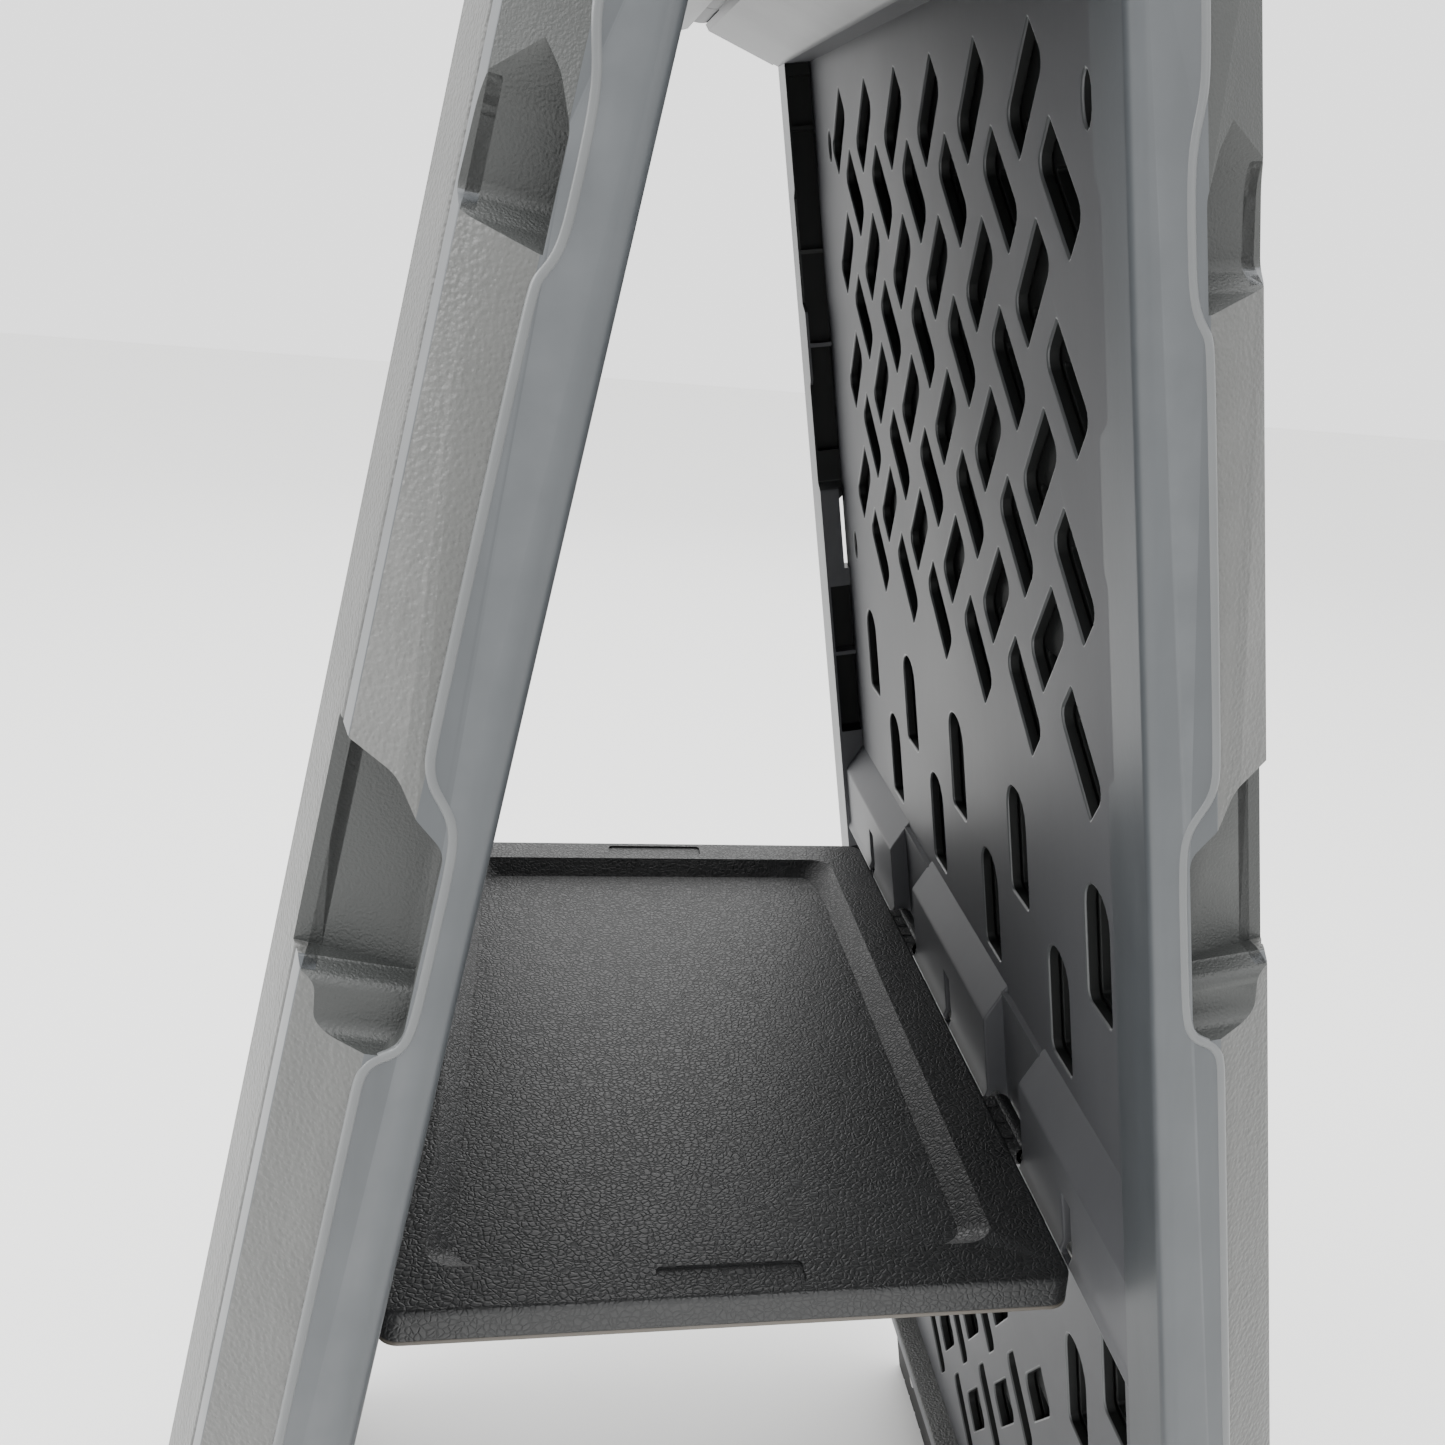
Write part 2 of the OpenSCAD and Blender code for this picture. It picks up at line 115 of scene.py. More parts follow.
def plate(outlines, low, high, lip=0.0, lipSteps=2):
    # a flat sheet with holes: the first outline is its edge, the others its holes, all edges rounded by lip
    curve = bpy.data.curves.new("plate", "CURVE")
    curve.dimensions = "2D"
    curve.fill_mode = "BOTH"
    curve.extrude = max((high - low) / 2 - lip, 0.00001)
    curve.bevel_depth = lip
    curve.bevel_resolution = lipSteps
    curve.offset = -lip
    for line in outlines:
        spline = curve.splines.new("POLY")
        spline.points.add(len(line) - 1)
        for point, q in zip(spline.points, line):
            point.co = (q[0], q[1], 0, 1)
        spline.use_cyclic_u = True
    holder = bpy.data.objects.new("plate", curve)
    bpy.context.scene.collection.objects.link(holder)
    bpy.context.view_layer.update()
    mesh = bpy.data.meshes.new_from_object(holder.evaluated_get(bpy.context.evaluated_depsgraph_get()))
    bpy.data.objects.remove(holder)
    bm = bmesh.new()
    bm.from_mesh(mesh)
    bpy.data.meshes.remove(mesh)
    bmesh.ops.translate(bm, verts=bm.verts, vec=(0, 0, (low + high) / 2))
    bmesh.ops.remove_doubles(bm, verts=bm.verts, dist=0.000005)
    return bm


def prism(outline, low, high, turn, round=0.0, segments=2):
    # an outline pushed along its normal, then turned into place
    bm = bmesh.new()
    face = bm.faces.new([bm.verts.new((q[0], q[1], 0)) for q in outline])
    moved = bmesh.ops.extrude_face_region(bm, geom=[face])
    bmesh.ops.translate(bm, verts=[v for v in moved["geom"] if isinstance(v, bmesh.types.BMVert)], vec=(0, 0, high - low))
    bmesh.ops.translate(bm, verts=bm.verts, vec=(0, 0, low))
    bmesh.ops.recalc_face_normals(bm, faces=bm.faces)
    if round:
        edges = [e for e in bm.edges if e.calc_face_angle(0) > 0.5]
        bmesh.ops.bevel(bm, geom=edges, offset=round, affect="EDGES", segments=segments, profile=0.5, material=-1, clamp_overlap=True)
    bmesh.ops.transform(bm, matrix=turn, verts=bm.verts)
    bmesh.ops.recalc_face_normals(bm, faces=bm.faces)
    return bm


def brick(x, y, z, round=0.0):
    return prism([(x[0], y[0]), (x[1], y[0]), (x[1], y[1]), (x[0], y[1])], z[0], z[1], Matrix.Identity(4), round)


def rodAlongY(radius, low, high, x=0, z=0, sides=40, chamfer=0.0004):
    bm = bmesh.new()
    bmesh.ops.create_cone(bm, cap_ends=True, segments=sides, radius1=radius, radius2=radius, depth=high - low)
    if chamfer:
        ends = [e for e in bm.edges if e.calc_face_angle(0) > 1.2]
        bmesh.ops.bevel(bm, geom=ends, offset=chamfer, affect="EDGES", segments=2, profile=0.5, material=-1)
    bmesh.ops.transform(bm, matrix=Matrix.Translation((x, (low + high) / 2, z)) @ Matrix.Rotation(math.pi / 2, 4, "X"), verts=bm.verts)
    return bm


def joined(parts, name, materialOf=None):
    # several closed shells as one mesh
    total = bmesh.new()
    for index, bm in enumerate(parts):
        for f in bm.faces:
            f.smooth = True
        holder = bpy.data.meshes.new("part")
        bm.to_mesh(holder)
        bm.free()
        total.from_mesh(holder)
        bpy.data.meshes.remove(holder)
    mesh = bpy.data.meshes.new(name)
    total.to_mesh(mesh)
    total.free()
    mesh.set_sharp_from_angle(angle=math.radians(50))
    return flatFaces(mesh)


def flatFaces(mesh):
    # shading that stays level over wide faces and turns only in the rounded edges
    holder = bpy.data.objects.new("shade", mesh)
    bpy.context.scene.collection.objects.link(holder)
    level = holder.modifiers.new("level", "WEIGHTED_NORMAL")
    level.keep_sharp = True
    level.weight = 50
    bpy.context.view_layer.update()
    done = bpy.data.meshes.new_from_object(holder.evaluated_get(bpy.context.evaluated_depsgraph_get()))
    done.name = mesh.name
    bpy.data.objects.remove(holder)
    bpy.data.meshes.remove(mesh)
    return done


def toMesh(bm, name):
    mesh = bpy.data.meshes.new(name)
    bm.to_mesh(mesh)
    bm.free()
    return mesh


def carved(body, cutters, round=0.0, segments=2, angle=32, edgeSlot=-1):
    # a shape with others cut out of it, and its new edges rounded
    holder = bpy.data.objects.new("carved", toMesh(body, "carved"))
    bpy.context.scene.collection.objects.link(holder)
    spent = []
    for cutter in cutters:
        tool = bpy.data.objects.new("tool", toMesh(cutter, "tool"))
        bpy.context.scene.collection.objects.link(tool)
        spent.append(tool)
        cut = holder.modifiers.new("cut", "BOOLEAN")
        cut.operation = "DIFFERENCE"
        cut.solver = "EXACT"
        cut.object = tool
    if round:
        edge = holder.modifiers.new("edge", "BEVEL")
        edge.width = round
        edge.segments = segments
        edge.limit_method = "ANGLE"
        edge.angle_limit = math.radians(angle)
        edge.use_clamp_overlap = True
        # the rounded faces take material slot edgeSlot; the legs pass slot 4, the lip finish, so every rounded edge
        # carries a painted highlight
        edge.material = edgeSlot
    bpy.context.view_layer.update()
    mesh = bpy.data.meshes.new_from_object(holder.evaluated_get(bpy.context.evaluated_depsgraph_get()))
    bpy.data.objects.remove(holder)
    for tool in spent:
        bpy.data.objects.remove(tool)
    bm = bmesh.new()
    bm.from_mesh(mesh)
    bpy.data.meshes.remove(mesh)
    return bm


# ---- finishes ----

def newGroup(name, inputs, outputs):
    group = bpy.data.node_groups.new(name, "ShaderNodeTree")
    for label, kind, value in inputs:
        socket = group.interface.new_socket(name=label, in_out="INPUT", socket_type=kind)
        socket.default_value = value
    for label, kind in outputs:
        group.interface.new_socket(name=label, in_out="OUTPUT", socket_type=kind)
    return group, group.nodes.new("NodeGroupInput"), group.nodes.new("NodeGroupOutput")


def edgeWearAndHighlight():
    # paler edges from the surface's own curvature: partly rubbed wear, partly a painted highlight along the rounded
    # edges
    group, start, end = newGroup("edgeWearAndHighlight",
        [("Color", "NodeSocketColor", (0.3, 0.3, 0.3, 1)), ("Worn", "NodeSocketColor", (0.5, 0.5, 0.5, 1)),
         ("Amount", "NodeSocketFloat", 0.4)],
        [("Color", "NodeSocketColor"), ("Mask", "NodeSocketFloat")])
    nodes, links = group.nodes, group.links
    shape = nodes.new("ShaderNodeNewGeometry")
    ramp = nodes.new("ShaderNodeMapRange")
    ramp.inputs["From Min"].default_value = 0.51
    ramp.inputs["From Max"].default_value = 0.6
    links.new(shape.outputs["Pointiness"], ramp.inputs["Value"])
    place = nodes.new("ShaderNodeTexCoord")
    cloud = nodes.new("ShaderNodeTexNoise")
    cloud.inputs["Scale"].default_value = 55
    cloud.inputs["Detail"].default_value = 4
    links.new(place.outputs["Object"], cloud.inputs["Vector"])
    patchy = nodes.new("ShaderNodeMath")
    patchy.operation = "MULTIPLY"
    links.new(ramp.outputs["Result"], patchy.inputs[0])
    links.new(cloud.outputs["Fac"], patchy.inputs[1])
    amount = nodes.new("ShaderNodeMath")
    amount.operation = "MULTIPLY"
    links.new(patchy.outputs[0], amount.inputs[0])
    links.new(start.outputs["Amount"], amount.inputs[1])
    mix = nodes.new("ShaderNodeMix")
    mix.data_type = "RGBA"
    links.new(amount.outputs[0], mix.inputs["Factor"])
    links.new(start.outputs["Color"], mix.inputs["A"])
    links.new(start.outputs["Worn"], mix.inputs["B"])
    links.new(mix.outputs["Result"], end.inputs["Color"])
    links.new(amount.outputs[0], end.inputs["Mask"])
    return group


def mouldTone():
    # slow drifts of tone in a blow-moulded wall, with faint flow streaks up it
    group, start, end = newGroup("mouldTone",
        [("Color", "NodeSocketColor", (0.3, 0.3, 0.3, 1)), ("Drift", "NodeSocketFloat", 0.12),
         ("Streak", "NodeSocketFloat", 0.08)],
        [("Color", "NodeSocketColor"), ("Mask", "NodeSocketFloat")])
    nodes, links = group.nodes, group.links
    place = nodes.new("ShaderNodeTexCoord")
    cloud = nodes.new("ShaderNodeTexNoise")
    cloud.inputs["Scale"].default_value = 9
    cloud.inputs["Detail"].default_value = 5
    links.new(place.outputs["Object"], cloud.inputs["Vector"])
    squeeze = nodes.new("ShaderNodeMapping")
    squeeze.inputs["Scale"].default_value = (160, 160, 2.2)
    links.new(place.outputs["Object"], squeeze.inputs["Vector"])
    streaks = nodes.new("ShaderNodeTexNoise")
    streaks.inputs["Scale"].default_value = 1
    streaks.inputs["Detail"].default_value = 3
    links.new(squeeze.outputs["Vector"], streaks.inputs["Vector"])
    sums = []
    for source, strength in ((cloud, "Drift"), (streaks, "Streak")):
        centre = nodes.new("ShaderNodeMath")
        centre.operation = "SUBTRACT"
        links.new(source.outputs["Fac"], centre.inputs[0])
        centre.inputs[1].default_value = 0.5
        scale = nodes.new("ShaderNodeMath")
        scale.operation = "MULTIPLY"
        links.new(centre.outputs[0], scale.inputs[0])
        links.new(start.outputs[strength], scale.inputs[1])
        sums.append(scale)
    total = nodes.new("ShaderNodeMath")
    total.operation = "ADD"
    links.new(sums[0].outputs[0], total.inputs[0])
    links.new(sums[1].outputs[0], total.inputs[1])
    lift = nodes.new("ShaderNodeMath")
    lift.operation = "ADD"
    links.new(total.outputs[0], lift.inputs[0])
    lift.inputs[1].default_value = 1
    tint = nodes.new("ShaderNodeHueSaturation")
    links.new(start.outputs["Color"], tint.inputs["Color"])
    links.new(lift.outputs[0], tint.inputs["Value"])
    links.new(tint.outputs["Color"], end.inputs["Color"])
    links.new(cloud.outputs["Fac"], end.inputs["Mask"])
    return group


def stipple():
    # fine pebbled texture of a mould, as a height
    group, start, end = newGroup("stipple",
        [("Scale", "NodeSocketFloat", 900), ("Soft", "NodeSocketFloat", 0.5)],
        [("Height", "NodeSocketFloat")])
    nodes, links = group.nodes, group.links
    place = nodes.new("ShaderNodeTexCoord")
    grains = nodes.new("ShaderNodeTexNoise")
    grains.inputs["Detail"].default_value = 2
    links.new(place.outputs["Object"], grains.inputs["Vector"])
    links.new(start.outputs["Scale"], grains.inputs["Scale"])
    pebbles = nodes.new("ShaderNodeTexVoronoi")
    pebbles.feature = "SMOOTH_F1"
    links.new(place.outputs["Object"], pebbles.inputs["Vector"])
    links.new(start.outputs["Scale"], pebbles.inputs["Scale"])
    mix = nodes.new("ShaderNodeMix")
    mix.data_type = "FLOAT"
    links.new(start.outputs["Soft"], mix.inputs["Factor"])
    links.new(pebbles.outputs["Distance"], mix.inputs["A"])
    links.new(grains.outputs["Fac"], mix.inputs["B"])
    links.new(mix.outputs["Result"], end.inputs["Height"])
    return group


def leatherGrain():
    # raised cells with fine creases between them, as a height
    group, start, end = newGroup("leatherGrain",
        [("Scale", "NodeSocketFloat", 420)], [("Height", "NodeSocketFloat"), ("Mask", "NodeSocketFloat")])
    nodes, links = group.nodes, group.links
    place = nodes.new("ShaderNodeTexCoord")
    warp = nodes.new("ShaderNodeTexNoise")
    warp.inputs["Scale"].default_value = 150
    links.new(place.outputs["Object"], warp.inputs["Vector"])
    push = nodes.new("ShaderNodeVectorMath")
    push.operation = "SCALE"
    push.inputs["Scale"].default_value = 0.004
    links.new(warp.outputs["Color"], push.inputs[0])
    moved = nodes.new("ShaderNodeVectorMath")
    links.new(place.outputs["Object"], moved.inputs[0])
    links.new(push.outputs["Vector"], moved.inputs[1])
    cells = nodes.new("ShaderNodeTexVoronoi")
    cells.feature = "DISTANCE_TO_EDGE"
    links.new(moved.outputs["Vector"], cells.inputs["Vector"])
    links.new(start.outputs["Scale"], cells.inputs["Scale"])
    crease = nodes.new("ShaderNodeMapRange")
    crease.inputs["From Max"].default_value = 0.22
    links.new(cells.outputs["Distance"], crease.inputs["Value"])
    links.new(crease.outputs["Result"], end.inputs["Height"])
    links.new(crease.outputs["Result"], end.inputs["Mask"])
    return group


groups = dict(edgeWearAndHighlight=edgeWearAndHighlight(), mouldTone=mouldTone(), stipple=stipple(), leatherGrain=leatherGrain())


def useGroup(material, name, **values):
    node = material.node_tree.nodes.new("ShaderNodeGroup")
    node.node_tree = groups[name]
    for key, value in values.items():
        node.inputs[key].default_value = value
    return node


def newMaterial(name, roughness, metallic=0.0, specular=0.5, coat=0.0, coatRough=0.3):
    material = bpy.data.materials.new(name)
    material.use_nodes = True
    shader = material.node_tree.nodes["Principled BSDF"]
    shader.inputs["Roughness"].default_value = roughness
    shader.inputs["Metallic"].default_value = metallic
    shader.inputs["Specular IOR Level"].default_value = specular
    shader.inputs["Coat Weight"].default_value = coat
    shader.inputs["Coat Roughness"].default_value = coatRough
    return material, shader


def roughFrom(material, shader, mask, low, high):
    spread = material.node_tree.nodes.new("ShaderNodeMapRange")
    spread.inputs["To Min"].default_value = low
    spread.inputs["To Max"].default_value = high
    material.node_tree.links.new(mask, spread.inputs["Value"])
    material.node_tree.links.new(spread.outputs["Result"], shader.inputs["Roughness"])


def bumpFrom(material, shader, height, strength, distance):
    bump = material.node_tree.nodes.new("ShaderNodeBump")
    bump.inputs["Strength"].default_value = strength
    bump.inputs["Distance"].default_value = distance
    material.node_tree.links.new(height, bump.inputs["Height"])
    material.node_tree.links.new(bump.outputs["Normal"], shader.inputs["Normal"])


def mouldedPlastic(name, color, wornAndHighlight, roughness, grainScale, grainDepth, drift=0.14, streak=0.1, soft=0.6, strength=0.5, specular=0.5):
    material, shader = newMaterial(name, roughness, specular=specular)
    links = material.node_tree.links
    tone = useGroup(material, "mouldTone", Color=(*color, 1), Drift=drift, Streak=streak)
    # paler edges: rubbed wear together with a painted highlight
    wearAndHighlight = useGroup(material, "edgeWearAndHighlight", Worn=(*wornAndHighlight, 1), Amount=0.55)
    links.new(tone.outputs["Color"], wearAndHighlight.inputs["Color"])
    links.new(wearAndHighlight.outputs["Color"], shader.inputs["Base Color"])
    roughFrom(material, shader, tone.outputs["Mask"], roughness - 0.06, roughness + 0.08)
    grain = useGroup(material, "stipple", Scale=grainScale, Soft=soft)
    bumpFrom(material, shader, grain.outputs["Height"], strength, grainDepth)
    return material


def grainedPlastic(name, color, wornAndHighlight, roughness, scale, depth, strength=0.6):
    material, shader = newMaterial(name, roughness)
    links = material.node_tree.links
    tone = useGroup(material, "mouldTone", Color=(*color, 1), Drift=0.12, Streak=0.0)
    # paler edges: rubbed wear together with a painted highlight
    wearAndHighlight = useGroup(material, "edgeWearAndHighlight", Worn=(*wornAndHighlight, 1), Amount=0.6)
    links.new(tone.outputs["Color"], wearAndHighlight.inputs["Color"])
    links.new(wearAndHighlight.outputs["Color"], shader.inputs["Base Color"])
    grain = useGroup(material, "leatherGrain", Scale=scale)
    roughFrom(material, shader, grain.outputs["Mask"], roughness + 0.12, roughness - 0.04)
    bumpFrom(material, shader, grain.outputs["Height"], strength, depth)
    return material


def rolledSteel(name, color, roughness):
    material, shader = newMaterial(name, roughness, metallic=1.0)
    links = material.node_tree.links
    tone = useGroup(material, "mouldTone", Color=(*color, 1), Drift=0.25, Streak=0.1)
    links.new(tone.outputs["Color"], shader.inputs["Base Color"])
    roughFrom(material, shader, tone.outputs["Mask"], roughness - 0.1, roughness + 0.12)
    grain = useGroup(material, "stipple", Scale=1800.0, Soft=0.9)
    bumpFrom(material, shader, grain.outputs["Height"], 0.15, 0.00005)
    return material


def mouldedRubber(name, color):
    material, shader = newMaterial(name, 0.75, specular=0.35)
    links = material.node_tree.links
    tone = useGroup(material, "mouldTone", Color=(*color, 1), Drift=0.3, Streak=0.0)
    # paler edges: rubbed wear together with a painted highlight
    wearAndHighlight = useGroup(material, "edgeWearAndHighlight", Worn=(0.09, 0.088, 0.085, 1), Amount=0.5)
    links.new(tone.outputs["Color"], wearAndHighlight.inputs["Color"])
    links.new(wearAndHighlight.outputs["Color"], shader.inputs["Base Color"])
    roughFrom(material, shader, tone.outputs["Mask"], 0.62, 0.85)
    grain = useGroup(material, "stipple", Scale=1300.0, Soft=0.4)
    bumpFrom(material, shader, grain.outputs["Height"], 0.4, 0.00012)
    return material


finish = dict(
    smooth=mouldedPlastic("legSmooth", (0.046, 0.051, 0.0555), (0.1368, 0.144, 0.1512), 0.36, 700.0, 0.00006, streak=0.3, strength=0.25),
    rough=mouldedPlastic("legStippled", (0.066, 0.0675, 0.065), (0.1584, 0.1584, 0.1548), 0.42, 850.0, 0.0006, drift=0.12, streak=0.0, soft=0.45, strength=1.0),
    # the hold-wall finish is a darker copy of the stippled plastic: painted shade in the hand holds
    holdWallShade=mouldedPlastic("legHoldWallsPaintedShade", (0.026, 0.028, 0.027), (0.08, 0.083, 0.08), 0.5, 1500.0, 0.0003, drift=0.1, streak=0.0, soft=0.7, strength=0.9),
    # the lip finish is a lighter copy of the leg plastic: a painted highlight on the rounded lips, edges and beads
    lip=mouldedPlastic("legLipsPaintedHighlight", (0.092, 0.0965, 0.099), (0.18, 0.1872, 0.1872), 0.3, 700.0, 0.00004, streak=0.0, strength=0.2),
    field=mouldedPlastic("legField", (0.086, 0.088, 0.095), (0.1584, 0.162, 0.1692), 0.5, 650.0, 0.00006, drift=0.22, streak=0.1, strength=0.35),
    # the pocket finish is a near-black copy of the leg plastic: painted shade inside the recesses
    pocket=mouldedPlastic("legPocketsPaintedShade", (0.0022, 0.003, 0.0028), (0.006, 0.008, 0.007), 0.65, 500.0, 0.0001, drift=0.3, streak=0.0),
    tray=grainedPlastic("trayGrain", (0.0115, 0.012, 0.0124), (0.0446, 0.0461, 0.0475), 0.46, 520.0, 0.0002),
    trayEdge=mouldedPlastic("trayEdge", (0.0884, 0.0782, 0.0646), (0.144, 0.1332, 0.1188), 0.5, 500.0, 0.0001),
    rubber=mouldedRubber("footRubber", (0.012, 0.012, 0.012)),
    grip=mouldedRubber("gripRubber", (0.022, 0.022, 0.023)),
    steel=rolledSteel("zincSteel", (0.62, 0.62, 0.6), 0.35),
    cap=mouldedPlastic("capPlastic", (0.0136, 0.0143, 0.015), (0.072, 0.072, 0.072), 0.4, 800.0, 0.00008, drift=0.2, streak=0.0),
)
print("finishes made")


# ---- the moulded leg ----

leg = dict(border=26, backBorder=32, field=12, frontDeep=29.4, thick=34, parting=17, corner=4, draft=10,
           pocketLong=35, pocketWide=16.8, pocketDeep=12, stepDeep=4.2, latticeY=56, latticeS=52.7,
           slotWide=21.5, slotHigh=41, slotY=81.5, lip=0.8, edge=1.1, bead=1.3, step=70, arch=52, footWide=92)

W = halfW / mm            # half width, in millimetres like every number of the leg
inner = W - leg["border"]
floorAt = floorS / mm
headAt = hingeS / mm
archHalf = W - leg["footWide"]


def slantPocket(y, s, way):
    # a slanted pocket: soft corners at its sides, sharp ones above and below
    a, b = leg["pocketLong"] / 2, leg["pocketWide"] / 2
    corners = [(-a, -b), (a, -b), (a, b), (-a, b)]
    turn = way * math.pi / 4
    c, n = math.cos(turn), math.sin(turn)
    points = [(y + p * c - q * n, s + p * n + q * c) for p, q in corners]
    radii = [0.8 if abs(p[1] - s) > 12 else 5.0 for p in points]
    return points, radii


def slotPocket(y, s, wide=None, high=None):
    wide = wide or leg["slotWide"]
    high = high or leg["slotHigh"]
    points = [(y - wide / 2, s - high / 2), (y + wide / 2, s - high / 2), (y + wide / 2, s + high / 2), (y - wide / 2, s + high / 2)]
    return points, [3.0, 3.0, wide * 0.44, wide * 0.44]


def below(points, level):
    # the part of a convex outline that lies under a level
    out = []
    for i, p in enumerate(points):
        q = points[(i + 1) % len(points)]
        if p[1] <= level:
            out.append(p)
        if (p[1] - level) * (q[1] - level) < 0:
            t = (level - p[1]) / (q[1] - p[1])
            out.append((p[0] + t * (q[0] - p[0]), level))
    return out


def shrunk(points, by):
    cy = sum(p[0] for p in points) / len(points)
    cs = sum(p[1] for p in points) / len(points)
    out = []
    for y, s in points:
        d = math.hypot(y - cy, s - cs)
        k = max(d - by * 1.4, 0.3) / d
        out.append((cy + (y - cy) * k, cs + (s - cs) * k))
    return out


def meters(points):
    return [(p[0] * mm, p[1] * mm) for p in points]


def fieldPockets():
    # every pocket of the inner field: outline, corner radii, level of the step inside it
    found = []
    for first, rows in ((163, 4), (-264, 3)):
        for row in range(rows):
            for col in range(6):
                y, s = (col - 2.75) * leg["latticeY"], first + row * leg["latticeS"]
                points, radii = slantPocket(y, s, 1)
                found.append((points, radii, s + 5.5))
                y, s = (col - 2.25) * leg["latticeY"], s + leg["latticeS"] / 2
                points, radii = slantPocket(y, s, -1)
                found.append((points, radii, s - 7.5))
    for level in (104, -46):
        for i in (-2, -1, 0, 1, 2):
            points, radii = slotPocket(i * leg["slotY"], level)
            found.append((points, radii, level + 40))
        for i in (-1.5, -0.5, 0.5, 1.5):
            points, radii = slotPocket(i * leg["slotY"], level - 40)
            found.append((points, radii, level))
    return found


def ovalHoles():
    out = []
    for y, s in ((189, 152), (-178, 342), (-189, 152), (178, 342)):
        out.append([(y + 3.5 * math.cos(t * math.pi / 8), s + 7 * math.sin(t * math.pi / 8)) for t in range(16)])
    return out


# the border's inner edge wanders a little, in steps, between the hand holds
innerEdge = [(floorAt + leg["step"] + 8, 0), (-60, 0), (-56, -2), (176, -2), (180, 2.5), (229, 2.5), (232, 0), (265, 0),
             (269, 6), (320, 6), (324, 2), (headAt - 32, 2)]
fieldLow = floorAt + leg["step"] + 8
fieldHigh = headAt - 32


def fieldSheets():
    # three sheets: the face with its openings, the stepped layer inside, and the pockets' floors
    pockets = fieldPockets()
    edge = [(-inner - 4, fieldLow - 4), (inner + 4, fieldLow - 4), (inner + 4, fieldHigh + 4), (-inner - 4, fieldHigh + 4)]
    face = [meters(edge)]
    step = [meters(edge)]
    for points, radii, level in pockets:
        face.append([(p.x * mm, p.y * mm) for p in rounded(points, radii, 4)])
        inside = shrunk(points, 0.8)
        lower = below(inside, level)
        if len(lower) >= 3:
            step.append([(p.x * mm, p.y * mm) for p in rounded(lower, 1.2, 2)])
    face += [meters(h) for h in ovalHoles()]
    u = leg["field"]
    sheets = [plate(face, u * mm, (u + leg["stepDeep"]) * mm, leg["lip"] * mm, 2),
              plate(step, (u + leg["stepDeep"] + 0.4) * mm, (u + leg["pocketDeep"]) * mm, 0.4 * mm, 1),
              plate([meters(edge)], (u + leg["pocketDeep"] - 0.5) * mm, (u + leg["pocketDeep"] + 1.5) * mm, 0)]
    for bm in sheets:
        bmesh.ops.transform(bm, matrix=lieFlat, verts=bm.verts)
        bmesh.ops.recalc_face_normals(bm, faces=bm.faces)
    return sheets


crown = dict(high=9, run=30, pocketDeep=5, groove=7.5)


hold = dict(deep=15.5, slant=7, lowDrop=14, lowU=9.8, lowS=133, highU=16.5, highS=300)


